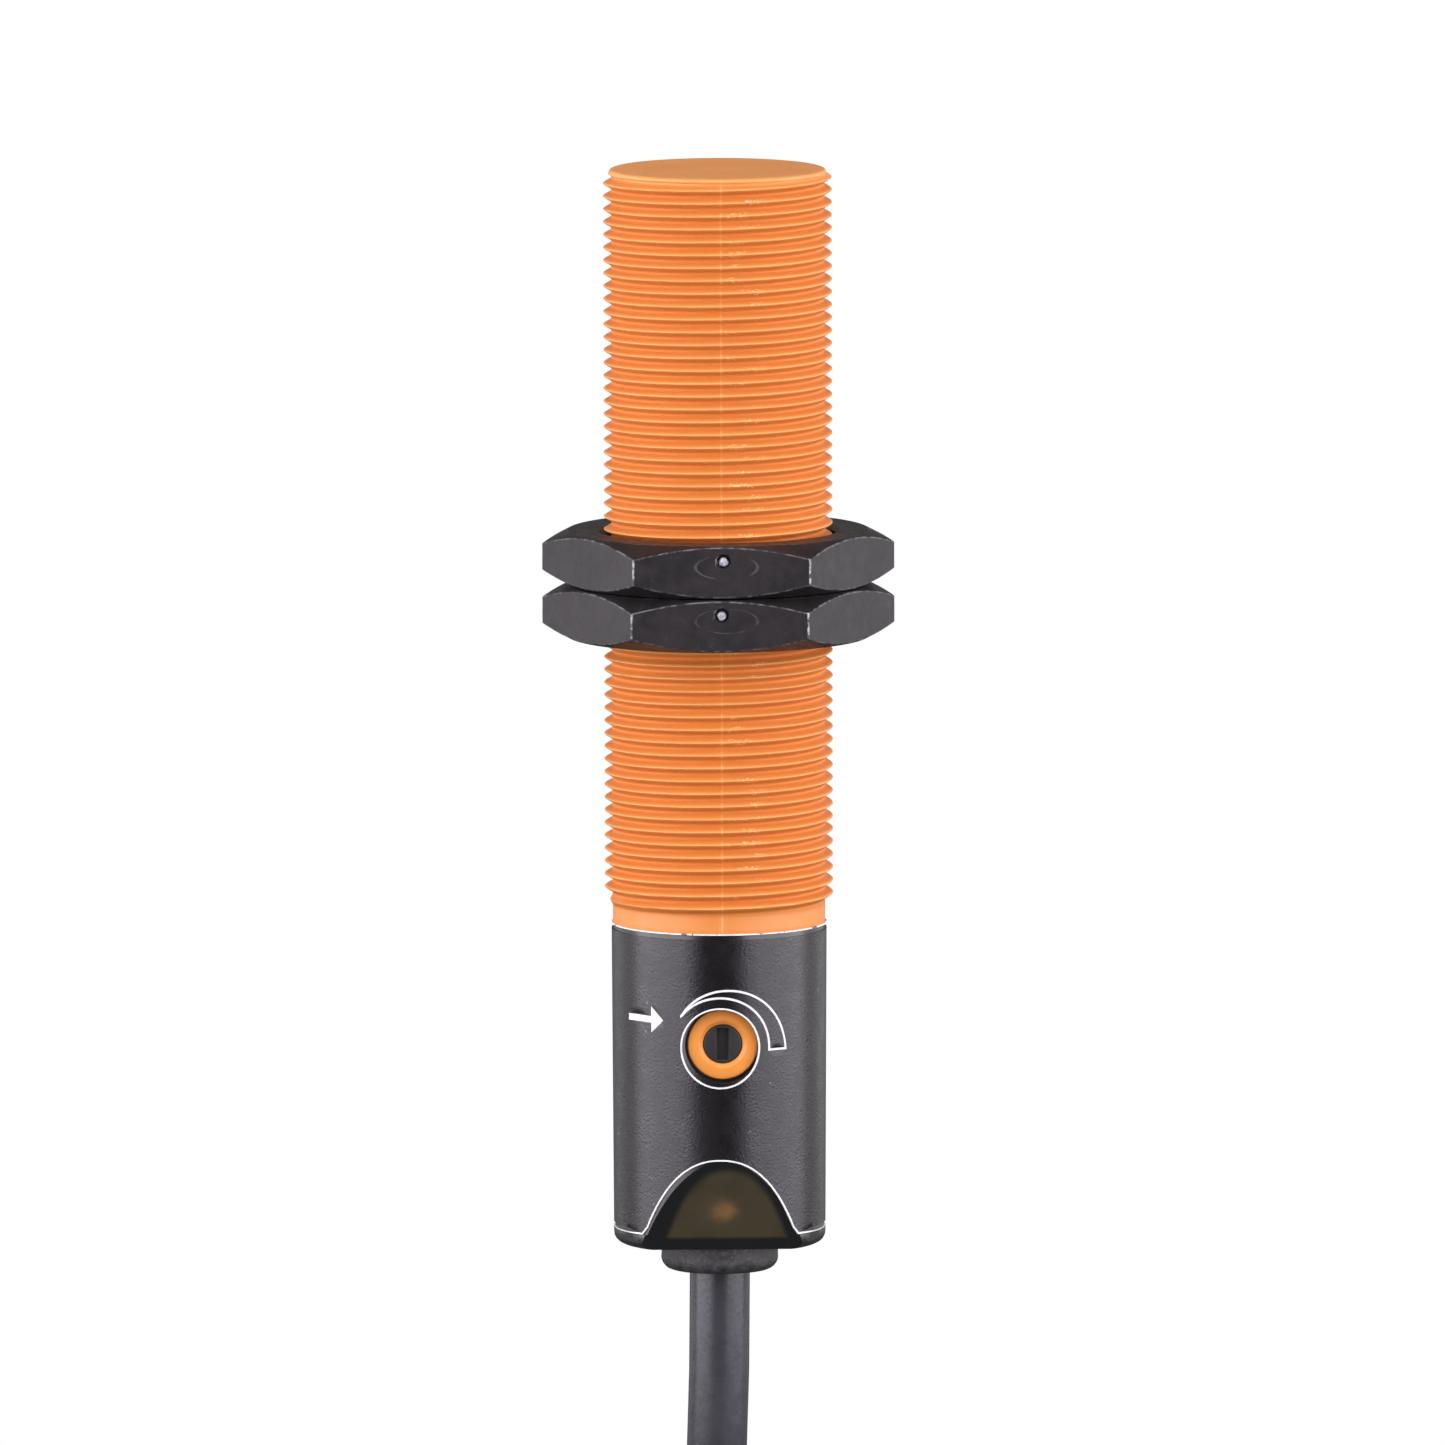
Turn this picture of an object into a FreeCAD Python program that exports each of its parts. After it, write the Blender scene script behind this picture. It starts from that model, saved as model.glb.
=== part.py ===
import FreeCAD, Part
import math
import os

# A cylindrical proximity sensor: threaded barrel with a closed sensing face, rear housing with
# a label, trimmer and status LED, two clamping nuts and a fixed round cable.
# Millimetres. +Z runs along the barrel towards the sensing face, -Y is the front, which carries
# the trimmer. The origin is on the axis, in the plane where the two nuts meet.

V = FreeCAD.Vector
UP = V(0, 0, 1)
FORWARD = V(0, -1, 0)

# ---- driving dimensions ------------------------------------------------------------------
# threaded barrel, M18 x 1
THREAD_CREST_RADIUS = 8.9
THREAD_ROOT_RADIUS = 8.27
BARREL_BORE_RADIUS = 7.2
SENSING_FACE_Z = 32.35
SENSING_WALL = 1.0
THREAD_END_Z = -24.85
BARREL_END_Z = -26.65
FACE_EDGE_RADIUS = 0.4

# rear housing: tapers slightly, with a slanted flat at the front of its lower end
REAR_TOP_RADIUS = 8.26
REAR_LOW_RADIUS = 8.13
REAR_RIM_RADIUS = 8.25
REAR_END_Z = -51.7
REAR_BORE_RADIUS = 7.0
REAR_FLOOR = 1.5
REAR_SHOULDER = 1.0
REAR_EDGE_RADIUS = 0.8
SPIGOT_RADIUS = 7.15
SPIGOT_BORE_RADIUS = 5.9
SPIGOT_LENGTH = 4.4
SEAL_GROOVE_RADIUS = 6.35
SEAL_GROOVE_WIDTH = 1.1
FLAT_TOP_Z = -44.5
FLAT_DEPTH = 3.0
FLAT_WALL = 1.3

# printed label round the rear housing
LABEL_THICKNESS = 0.12
LABEL_END_Z = -50.45
LABEL_TURN_DEG = -1.6
LABEL_HOLE_RADIUS = 3.05
LABEL_HOLE_Z = -35.5
WINDOW_TOP_Z = -44.35
WINDOW_HALF_WIDTH = 6.9
WINDOW_FLARE = 0.6

# clamping nuts
NUT_ACROSS_FLATS = 23.8
NUT_HEIGHT = 4.1
NUT_GAP = 0.1
NUT_BORE_RADIUS = 9.0
NUT_CORNER_RADIUS = 0.25
NUT_CHAMFER_DEG = 27.0
NUT_CHAMFER_START_RADIUS = 11.7
NUT_LEAD_IN = 0.5
UPPER_NUT_TURN_DEG = -0.8
LOWER_NUT_TURN_DEG = -1.5

# sensitivity trimmer, its axis along Y
TRIMMER_Z = -35.3
TRIMMER_RING_RADIUS = 2.75
TRIMMER_RING_BORE = 1.525
TRIMMER_RECESS_RADIUS = 2.95
TRIMMER_RING_FRONT_Y = -7.3
TRIMMER_RING_BACK_Y = -5.4
TRIMMER_BOSS_RADIUS = 3.7
TRIMMER_HEAD_RADIUS = 1.5
TRIMMER_HEAD_FRONT_Y = -7.1
TRIMMER_HEAD_BACK_Y = -6.3
TRIMMER_STEM_RADIUS = 0.8
TRIMMER_SLOT_WIDTH = 0.97
TRIMMER_SLOT_DEPTH = 0.5
TRIMMER_SLOT_LENGTH = 2.5
TRIMMER_CASE_SIDE = 4.8
TRIMMER_CASE_FRONT_Y = -4.3
TRIMMER_CASE_WALL = 0.6
TRIMMER_CASE_FLOOR = 0.8
TRIMMER_CHAMBER_RADIUS = 1.95
TRACK_OUTER_RADIUS = 1.75
TRACK_INNER_RADIUS = 1.1
TRACK_THICKNESS = 0.2
WIPER_RADIUS = 1.7
WIPER_FRONT_Y = -3.0
WIPER_BACK_Y = -2.5
WIPER_FINGER_RADIUS = 0.25
STEM_SEAL_Y = -5.85
STEM_SEAL_SECTION = 0.32
STEM_SEAL_MIDDLE_RADIUS = 1.17

# main circuit board, upright, its faces towards the front and the back
BOARD_FRONT_Y = -0.2
BOARD_BACK_Y = 0.8
BOARD_HALF_WIDTH = 5.6
BOARD_TOP_Z = 24.0
BOARD_LOW_Z = -45.0
BOARD_CORNER_RADIUS = 0.6
HOLDER_RADIUS = 6.85
HOLDER_HEIGHT = 2.0
HOLDER_LOW_Z = (19.5, -21.0)
HOLDER_OPENING = 4.2
HOLDER_OPENING_Y = 4.8
SHIELD_OUTER_RADIUS = 7.1
SHIELD_INNER_RADIUS = 6.95
SHIELD_Z = (8.0, 29.5)

# status LED behind the slanted flat
LED_Z = -48.4
LED_BACK_Y = -3.4

# sensing end
ELECTRODE_RADIUS = 4.6
GUARD_INNER_RADIUS = 5.4
GUARD_OUTER_RADIUS = 6.6
FOIL_THICKNESS = 0.1
ELECTRODE_BOARD_RADIUS = 7.0
ELECTRODE_BOARD_Z = (30.0, 31.0)
PIN_RADIUS = 0.3
PIN_X = 2.0
PIN_OVERLAP = 2.0

# cable
CABLE_DIAMETER = 4.7
CABLE_RADIUS = CABLE_DIAMETER / 2
GROMMET_RADIUS = 4.6
GROMMET_NECK_RADIUS = 3.6
GROMMET_LOW_Z = -53.85
GROMMET_TOP_Z = -49.3
JACKET_END_Z = -48.3
CORE_RADIUS = 0.5
CORE_PADS = {"brown": (-0.87, -0.5, -1.7), "black": (0.0, 1.0, 0.0), "blue": (0.87, -0.5, 1.7)}
CORE_Y = BOARD_BACK_Y + 0.85
CORE_TOP_Z = -41.5

# put-away coil of the cable: its plane is upright and runs front to back
COIL_MIDDLE_RADIUS = 27.4
COIL_LAYERS = 3
COIL_TURNS_PER_LAYER = 4
COIL_LAYER_PITCH = 4.75
COIL_TURN_PITCH = 4.8
COIL_JOIN_DEG = 40.0
COIL_ALLOWANCE = 0.1
LEAD_FIRST_RUN = 25.7
LEAD_LAST_RUN = 25.7
TAIL_START_DEG = 28.0
TAIL_CLEARANCE = 0.15
CORE_END_LENGTH = 22.0
CORE_SPACING = 1.15
FERRULE_LENGTH = 5.0
TIE_THICKNESS = 1.1
TIE_WIDTH_DEG = 9.0
TIE_PLACES_DEG = (105.0, -90.0)


# ---- small helpers -----------------------------------------------------------------------
def cylinder(radius, low_z, high_z):
    return Part.makeCylinder(radius, high_z - low_z, V(0, 0, low_z), UP)


def tube(outer, inner, low_z, high_z):
    return cylinder(outer, low_z, high_z).cut(cylinder(inner, low_z - 1, high_z + 1))


def cylinder_y(radius, front_y, back_y, x, z):
    """A cylinder along Y, from front_y to the larger back_y."""
    return Part.makeCylinder(radius, back_y - front_y, V(x, front_y, z), V(0, 1, 0))


def block(x, y, z):
    """A box from three (low, high) pairs."""
    return Part.makeBox(x[1] - x[0], y[1] - y[0], z[1] - z[0], V(x[0], y[0], z[0]))


def revolved(outline):
    """The solid that a closed outline of (radius, z) points sweeps round the axis."""
    points = [V(radius, 0, z) for radius, z in outline]
    face = Part.Face(Part.makePolygon(points + points[:1]))
    return face.revolve(V(0, 0, 0), UP, 360)


def rounded_edges(shape, radius, z):
    """Round the circular edges that lie at height z."""
    edges = []
    for edge in shape.Edges:
        if abs(edge.BoundBox.ZMin - z) < 0.01 and abs(edge.BoundBox.ZMax - z) < 0.01:
            edges.append(edge)
    return shape.makeFillet(radius, edges)


def turned(shape, degrees):
    copy = shape.copy()
    copy.rotate(V(0, 0, 0), UP, degrees)
    return copy


def group(shapes):
    return Part.makeCompound(shapes)


def joined(shapes):
    return shapes[0].multiFuse(shapes[1:]).removeSplitter()


def rounded_path(points, name=None):
    """A wire of straight runs joined by tangent arcs, each as large as its two runs allow."""
    edges = []
    start = points[0]
    for before, corner, after in zip(points, points[1:], points[2:]):
        back = (before - corner).normalize()
        ahead = (after - corner).normalize()
        turn = math.pi - back.getAngle(ahead)
        trim = 0.45 * min(before.distanceToPoint(corner), after.distanceToPoint(corner))
        radius = trim / math.tan(turn / 2)
        inward = (back + ahead).normalize()
        middle = corner + inward * (radius / math.cos(turn / 2) - radius)
        arc_start = corner + back * trim
        arc_end = corner + ahead * trim
        edges.append(Part.LineSegment(start, arc_start).toShape())
        edges.append(Part.Arc(arc_start, middle, arc_end).toShape())
        start = arc_end
        if name:
            print(f"{name}: bend radius {radius:.1f} mm")
    edges.append(Part.LineSegment(start, points[-1]).toShape())
    return Part.Wire(edges)


def round_bar(points, radius, name=None):
    """A bar of round section along a rounded path."""
    path = rounded_path(points, name)
    section = Part.Wire(Part.makeCircle(radius, points[0], points[1] - points[0]))
    bar = path.makePipeShell([section], True, False)
    if name:
        expected = math.pi * radius**2 * path.Length
        print(f"{name}: length {path.Length:.1f} mm, volume {bar.Volume:.1f}, expected {expected:.1f}")
    return bar


# ---- housing -----------------------------------------------------------------------------
def barrel_housing():
    """Threaded barrel, drawn at the thread's crests, closed by the sensing wall."""
    run_out = THREAD_CREST_RADIUS - THREAD_ROOT_RADIUS
    inner_top = SENSING_FACE_Z - SENSING_WALL
    body = revolved([
        (0, SENSING_FACE_Z),
        (THREAD_CREST_RADIUS, SENSING_FACE_Z),
        (THREAD_CREST_RADIUS, THREAD_END_Z + run_out),
        (THREAD_ROOT_RADIUS, THREAD_END_Z),
        (THREAD_ROOT_RADIUS, BARREL_END_Z),
        (BARREL_BORE_RADIUS, BARREL_END_Z),
        (BARREL_BORE_RADIUS, inner_top),
        (0, inner_top),
    ])
    return rounded_edges(body, FACE_EDGE_RADIUS, SENSING_FACE_Z)


def slanted_slab(offset):
    """The space in front of a plane that slants inwards towards the rear end.

    The plane meets the housing's surface at FLAT_TOP_Z and lies offset behind the outer flat.
    """
    slant = math.atan(FLAT_DEPTH / (FLAT_TOP_Z - REAR_END_Z))
    shift = offset / math.cos(slant)
    top_y = -REAR_LOW_RADIUS + shift
    reach = 12.0
    front_y = -20.0
    low_z = FLAT_TOP_Z - reach
    high_z = FLAT_TOP_Z + reach
    outline = [
        V(-reach, front_y, low_z),
        V(-reach, front_y, high_z),
        V(-reach, top_y - reach * math.tan(slant), high_z),
        V(-reach, top_y + reach * math.tan(slant), low_z),
    ]
    face = Part.Face(Part.makePolygon(outline + outline[:1]))
    return face.extrude(V(2 * reach, 0, 0))


def rear_housing():
    """Hollow rear housing with a spigot that plugs into the barrel."""
    spigot_top = BARREL_END_Z + SPIGOT_LENGTH
    shell = Part.makeCone(
        REAR_LOW_RADIUS, REAR_TOP_RADIUS, BARREL_END_Z - LABEL_END_Z, V(0, 0, LABEL_END_Z), UP
    )
    rim = rounded_edges(cylinder(REAR_RIM_RADIUS, REAR_END_Z, LABEL_END_Z), REAR_EDGE_RADIUS, REAR_END_Z)
    spigot = cylinder(SPIGOT_RADIUS, BARREL_END_Z, spigot_top)
    outside = joined([shell, rim, spigot]).cut(slanted_slab(0))
    cavity = cylinder(REAR_BORE_RADIUS, REAR_END_Z + REAR_FLOOR, BARREL_END_Z - REAR_SHOULDER)
    cavity = cavity.cut(slanted_slab(FLAT_WALL))
    throat = cylinder(SPIGOT_BORE_RADIUS, BARREL_END_Z - 2 * REAR_SHOULDER, spigot_top + 1)
    cable_hole = cylinder(GROMMET_NECK_RADIUS, REAR_END_Z - 1, REAR_END_Z + REAR_FLOOR + 1)
    groove_middle = BARREL_END_Z + SPIGOT_LENGTH / 2
    groove = tube(
        SPIGOT_RADIUS + 1,
        SEAL_GROOVE_RADIUS,
        groove_middle - SEAL_GROOVE_WIDTH / 2,
        groove_middle + SEAL_GROOVE_WIDTH / 2,
    )
    hollow = outside.cut(joined([cavity, throat, cable_hole])).cut(groove)
    boss = cylinder_y(TRIMMER_BOSS_RADIUS, -REAR_BORE_RADIUS - 0.2, TRIMMER_RING_BACK_Y, 0, TRIMMER_Z)
    boss = boss.common(cylinder(REAR_BORE_RADIUS + 0.5, REAR_END_Z, BARREL_END_Z))
    recess = cylinder_y(TRIMMER_RECESS_RADIUS, -10.0, TRIMMER_RING_FRONT_Y, 0, TRIMMER_Z)
    seat = cylinder_y(TRIMMER_RING_RADIUS, -10.0, TRIMMER_RING_BACK_Y + 1, 0, TRIMMER_Z)
    return joined([hollow, boss]).cut(joined([recess, seat]))


def window_outline(radius):
    """Front view of the label's window: an arch that flares out at the label's lower edge."""
    steps = 8
    height = WINDOW_TOP_Z - LABEL_END_Z - WINDOW_FLARE
    arch_width = WINDOW_HALF_WIDTH - WINDOW_FLARE

    def side(sign):
        points = []
        for step in range(1, steps + 1):
            drop = height * (step / steps) ** 2
            along = arch_width * (drop / height) ** 0.45
            points.append(V(sign * radius * math.sin(along / radius), 0, WINDOW_TOP_Z - drop))
        corner_x = radius * math.sin(WINDOW_HALF_WIDTH / radius)
        points.append(V(sign * corner_x, 0, LABEL_END_Z))
        return points

    left = side(-1)
    return left[::-1] + [V(0, 0, WINDOW_TOP_Z)] + side(1)


def label_sleeve():
    """Thin film round the rear housing, open over the trimmer and over the slanted flat."""
    height = BARREL_END_Z - LABEL_END_Z
    outer = Part.makeCone(
        REAR_LOW_RADIUS + LABEL_THICKNESS,
        REAR_TOP_RADIUS + LABEL_THICKNESS,
        height,
        V(0, 0, LABEL_END_Z),
        UP,
    )
    inner = Part.makeCone(REAR_LOW_RADIUS, REAR_TOP_RADIUS, height, V(0, 0, LABEL_END_Z), UP)
    outline = window_outline(REAR_LOW_RADIUS + LABEL_THICKNESS)
    low = [V(outline[-1].x, 0, LABEL_END_Z - 1), V(outline[0].x, 0, LABEL_END_Z - 1)]
    window = Part.Face(Part.makePolygon(outline + low + outline[:1])).extrude(FORWARD * 12)
    hole = cylinder_y(LABEL_HOLE_RADIUS, -12.0, 0, 0, LABEL_HOLE_Z)
    sleeve = outer.cut(inner).cut(turned(window, LABEL_TURN_DEG)).cut(turned(hole, LABEL_TURN_DEG))
    return sleeve.cut(slanted_slab(0))


def barrel_o_ring():
    section = 0.4
    middle = (SEAL_GROOVE_RADIUS + BARREL_BORE_RADIUS) / 2
    return Part.makeTorus(middle, section, V(0, 0, BARREL_END_Z + SPIGOT_LENGTH / 2), UP)


# ---- clamping nuts -----------------------------------------------------------------------
def nut(low_z, turn_deg):
    """Hexagon nut whose corners are bevelled at both faces; a flat faces the front."""
    corner_radius = NUT_ACROSS_FLATS / 2 / math.cos(math.pi / 6)
    corners = []
    for number in range(6):
        angle = math.radians(60 * number)
        corners.append(V(corner_radius * math.cos(angle), corner_radius * math.sin(angle), low_z))
    prism = Part.Face(Part.makePolygon(corners + corners[:1])).extrude(UP * NUT_HEIGHT)
    uprights = [e for e in prism.Edges if e.BoundBox.ZLength > NUT_HEIGHT / 2]
    prism = prism.makeFillet(NUT_CORNER_RADIUS, uprights)
    high_z = low_z + NUT_HEIGHT
    drop = (corner_radius - NUT_CHAMFER_START_RADIUS) * math.tan(math.radians(NUT_CHAMFER_DEG))
    bevel = revolved([
        (0, low_z),
        (NUT_CHAMFER_START_RADIUS, low_z),
        (corner_radius, low_z + drop),
        (corner_radius, high_z - drop),
        (NUT_CHAMFER_START_RADIUS, high_z),
        (0, high_z),
    ])
    bore = revolved([
        (0, low_z - 1),
        (NUT_BORE_RADIUS + NUT_LEAD_IN + 1, low_z - 1),
        (NUT_BORE_RADIUS, low_z + NUT_LEAD_IN),
        (NUT_BORE_RADIUS, high_z - NUT_LEAD_IN),
        (NUT_BORE_RADIUS + NUT_LEAD_IN + 1, high_z + 1),
        (0, high_z + 1),
    ])
    return turned(prism.common(bevel).cut(bore), turn_deg)


# ---- trimmer -----------------------------------------------------------------------------
def trimmer_ring():
    ring = cylinder_y(TRIMMER_RING_RADIUS, TRIMMER_RING_FRONT_Y, TRIMMER_RING_BACK_Y, 0, TRIMMER_Z)
    bore = cylinder_y(TRIMMER_RING_BORE, TRIMMER_RING_FRONT_Y - 1, TRIMMER_RING_BACK_Y + 1, 0, TRIMMER_Z)
    return ring.cut(bore)


def trimmer_screw():
    """Slotted head with a stem that reaches into the case; the slot is upright at rest."""
    head = cylinder_y(TRIMMER_HEAD_RADIUS, TRIMMER_HEAD_FRONT_Y, TRIMMER_HEAD_BACK_Y, 0, TRIMMER_Z)
    stem = cylinder_y(TRIMMER_STEM_RADIUS, TRIMMER_HEAD_BACK_Y, WIPER_FRONT_Y, 0, TRIMMER_Z)
    slot = block(
        (-TRIMMER_SLOT_WIDTH / 2, TRIMMER_SLOT_WIDTH / 2),
        (TRIMMER_HEAD_FRONT_Y - 1, TRIMMER_HEAD_FRONT_Y + TRIMMER_SLOT_DEPTH),
        (TRIMMER_Z - TRIMMER_SLOT_LENGTH / 2, TRIMMER_Z + TRIMMER_SLOT_LENGTH / 2),
    )
    return joined([head, stem]).cut(slot)


def trimmer_case():
    half = TRIMMER_CASE_SIDE / 2
    upright = (TRIMMER_Z - half, TRIMMER_Z + half)
    case = block((-half, half), (TRIMMER_CASE_FRONT_Y, BOARD_FRONT_Y), upright)
    chamber_front = TRIMMER_CASE_FRONT_Y + TRIMMER_CASE_WALL
    chamber_back = BOARD_FRONT_Y - TRIMMER_CASE_FLOOR
    chamber = cylinder_y(TRIMMER_CHAMBER_RADIUS, chamber_front, chamber_back, 0, TRIMMER_Z)
    entry = cylinder_y(TRIMMER_STEM_RADIUS + 0.1, TRIMMER_CASE_FRONT_Y - 1, chamber_front + 0.4, 0, TRIMMER_Z)
    return case.cut(joined([chamber, entry]))


def trimmer_track():
    """Three-quarter ring of resistance material on the chamber's floor."""
    floor_y = BOARD_FRONT_Y - TRIMMER_CASE_FLOOR
    half_gap = 0.5
    ring = cylinder_y(TRACK_OUTER_RADIUS, floor_y - TRACK_THICKNESS, floor_y, 0, TRIMMER_Z)
    ring = ring.cut(cylinder_y(TRACK_INNER_RADIUS, floor_y - 1, floor_y + 1, 0, TRIMMER_Z))
    gap = block((-half_gap, half_gap), (floor_y - 1, floor_y + 1), (TRIMMER_Z - TRIMMER_CASE_SIDE, TRIMMER_Z))
    return ring.cut(gap)


def trimmer_wiper():
    """Disc on the end of the stem with one finger that runs over the track."""
    disc = cylinder_y(WIPER_RADIUS, WIPER_FRONT_Y, WIPER_BACK_Y, 0, TRIMMER_Z)
    finger_tip_y = BOARD_FRONT_Y - TRIMMER_CASE_FLOOR - TRACK_THICKNESS - 0.05
    track_middle = (TRACK_OUTER_RADIUS + TRACK_INNER_RADIUS) / 2
    finger = cylinder_y(WIPER_FINGER_RADIUS, WIPER_BACK_Y, finger_tip_y, 0, TRIMMER_Z + track_middle)
    return joined([disc, finger])


def trimmer_o_ring():
    return Part.makeTorus(STEM_SEAL_MIDDLE_RADIUS, STEM_SEAL_SECTION, V(0, STEM_SEAL_Y, TRIMMER_Z), FORWARD)


# ---- sensing end -------------------------------------------------------------------------
def sensing_electrode():
    return cylinder(ELECTRODE_RADIUS, ELECTRODE_BOARD_Z[1], ELECTRODE_BOARD_Z[1] + FOIL_THICKNESS)


def guard_electrode():
    low_z = ELECTRODE_BOARD_Z[1]
    return tube(GUARD_OUTER_RADIUS, GUARD_INNER_RADIUS, low_z, low_z + FOIL_THICKNESS)


def electrode_board():
    return cylinder(ELECTRODE_BOARD_RADIUS, *ELECTRODE_BOARD_Z)


def electrode_pins():
    low_z = BOARD_TOP_Z - PIN_OVERLAP
    length = ELECTRODE_BOARD_Z[0] - low_z
    pins = []
    for x in (-PIN_X, PIN_X):
        pins.append(Part.makeCylinder(PIN_RADIUS, length, V(x, BOARD_FRONT_Y - PIN_RADIUS, low_z), UP))
    return group(pins)


def shield_sleeve():
    return tube(SHIELD_OUTER_RADIUS, SHIELD_INNER_RADIUS, *SHIELD_Z)


# ---- main board and what is on it --------------------------------------------------------
def main_board():
    across = (-BOARD_HALF_WIDTH, BOARD_HALF_WIDTH)
    board = block(across, (BOARD_FRONT_Y, BOARD_BACK_Y), (BOARD_LOW_Z, BOARD_TOP_Z))
    uprights = [e for e in board.Edges if e.BoundBox.YLength > 0.5]
    return board.makeFillet(BOARD_CORNER_RADIUS, uprights)


def board_holders():
    """Two carriers that grip the board and centre it in the barrel."""
    holders = []
    opening = (-HOLDER_OPENING, HOLDER_OPENING)
    for low_z in HOLDER_LOW_Z:
        disc = cylinder(HOLDER_RADIUS, low_z, low_z + HOLDER_HEIGHT)
        through = (low_z - 1, low_z + HOLDER_HEIGHT + 1)
        slot = block((-BOARD_HALF_WIDTH, BOARD_HALF_WIDTH), (BOARD_FRONT_Y, BOARD_BACK_Y), through)
        front_opening = block(opening, (-HOLDER_OPENING_Y, BOARD_FRONT_Y), through)
        back_opening = block(opening, (BOARD_BACK_Y, HOLDER_OPENING_Y), through)
        holders.append(disc.cut(joined([slot, front_opening, back_opening])))
    return group(holders)


def standing_off(side, low, high):
    """The Y range of something from low to high above the board's face; side is -1 front, 1 back."""
    if side < 0:
        return BOARD_FRONT_Y - high, BOARD_FRONT_Y - low
    return BOARD_BACK_Y + low, BOARD_BACK_Y + high


def chip(side, x, z, width, length, height, leads):
    """Moulded chip with bent leads along its two long sides."""
    lead_width = 0.35
    lead_reach = 0.7
    lead_thickness = 0.15
    shoulder = height / 2
    across = (x - width / 2, x + width / 2)
    parts = [block(across, standing_off(side, 0.1, height), (z - length / 2, z + length / 2))]
    for number in range(leads):
        middle = z + length * ((number + 0.5) / leads - 0.5)
        span = (middle - lead_width / 2, middle + lead_width / 2)
        for way in (-1, 1):
            root = x + way * width / 2
            bend = root + way * lead_reach / 2
            tip = root + way * lead_reach
            parts.append(block(
                (min(root, bend), max(root, bend)),
                standing_off(side, shoulder - lead_thickness, shoulder),
                span,
            ))
            parts.append(block(
                (min(bend, bend - way * lead_thickness), max(bend, bend - way * lead_thickness)),
                standing_off(side, 0, shoulder),
                span,
            ))
            parts.append(block((min(bend, tip), max(bend, tip)), standing_off(side, 0, lead_thickness), span))
    return joined(parts)


def two_ended(side, x, z, width, length, height):
    """Chip component with a cap at each end."""
    cap = length / 5
    parts = []
    for low, high, extra in (
        (-length / 2, -length / 2 + cap, 0.04),
        (-length / 2 + cap, length / 2 - cap, 0),
        (length / 2 - cap, length / 2, 0.04),
    ):
        parts.append(block(
            (x - width / 2 - extra, x + width / 2 + extra),
            standing_off(side, 0, height + extra),
            (z + low, z + high),
        ))
    return joined(parts)


def oscillator_chip():
    return chip(-1, 0, 13.5, 3.9, 5.0, 1.5, 4)


def evaluation_chip():
    return chip(-1, 0, 2.0, 3.9, 8.6, 1.5, 7)


def voltage_regulator():
    return chip(1, 0, -15.0, 2.6, 3.0, 1.3, 3)


def output_transistors():
    return group([chip(-1, 0, z, 1.4, 3.0, 1.0, 2) for z in (-10.0, -15.0)])


def protection_diodes():
    return group([two_ended(1, x, -33.0, 2.0, 4.0, 1.6) for x in (-3.6, 0, 3.6)])


def storage_capacitor():
    return two_ended(1, 0, -6.0, 4.2, 6.8, 3.0)


def ceramic_capacitors():
    places = [(-1, x, z) for x in (-4.4, 4.4) for z in (17.0, 9.0)] + [(1, x, 3.0) for x in (-3.5, 3.5)]
    return group([two_ended(side, x, z, 1.25, 2.0, 0.9) for side, x, z in places])


def chip_resistors():
    places = [(-1, x, z) for x in (-3.9, 3.9) for z in (-7.5, -11.5, -15.5, -26.5)]
    places += [(1, x, z) for x in (-2.6, 2.6) for z in (10.0, 14.0)]
    return group([two_ended(side, x, z, 0.8, 1.6, 0.5) for side, x, z in places])


def status_led():
    """Small lamp with a domed lens, aimed at the slanted flat."""
    radius = 0.8
    nose_y = -4.1
    body = cylinder_y(radius, nose_y, LED_BACK_Y, 0, LED_Z)
    dome = Part.makeSphere(radius, V(0, nose_y, LED_Z))
    return joined([body, dome])


def led_leads():
    radius = 0.18
    lead_y = LED_BACK_Y + radius
    high_z = BOARD_LOW_Z + 1.0
    leads = []
    for x in (-0.45, 0.45):
        route = [V(x, lead_y, LED_Z), V(x, lead_y, high_z), V(x, BOARD_FRONT_Y, high_z)]
        leads.append(round_bar(route, radius))
    return group(leads)


# ---- cable inside the housing ------------------------------------------------------------
def cable_grommet():
    floor_top = REAR_END_Z + REAR_FLOOR
    edge = 0.9
    outline = [
        (CABLE_RADIUS, GROMMET_LOW_Z),
        (GROMMET_RADIUS, GROMMET_LOW_Z),
        (GROMMET_RADIUS, REAR_END_Z),
        (GROMMET_NECK_RADIUS, REAR_END_Z),
        (GROMMET_NECK_RADIUS, floor_top),
        (GROMMET_RADIUS - 0.4, floor_top),
        (GROMMET_RADIUS - 0.4, GROMMET_TOP_Z),
        (CABLE_RADIUS, GROMMET_TOP_Z),
    ]
    body = revolved(outline)
    rim = [
        e for e in body.Edges
        if abs(e.BoundBox.ZMax - GROMMET_LOW_Z) < 0.01 and e.BoundBox.XLength > 2 * GROMMET_NECK_RADIUS
    ]
    return body.makeFillet(edge, rim).cut(slanted_slab(FLAT_WALL))


def cable_jacket_end():
    return cylinder(CABLE_RADIUS, GROMMET_LOW_Z, JACKET_END_Z)


def cable_crimp_ring():
    return tube(CABLE_RADIUS + 0.5, CABLE_RADIUS, GROMMET_TOP_Z + 0.1, JACKET_END_Z - 0.1)


def inner_core(colour):
    """One core from the jacket's end to its pad on the board's back face."""
    x, y, pad_x = CORE_PADS[colour]
    route = [
        V(x, y, JACKET_END_Z),
        V(x, y, JACKET_END_Z + 0.8),
        V(pad_x, CORE_Y, BOARD_LOW_Z - 0.8),
        V(pad_x, CORE_Y, CORE_TOP_Z),
    ]
    return round_bar(route, CORE_RADIUS)


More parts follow.
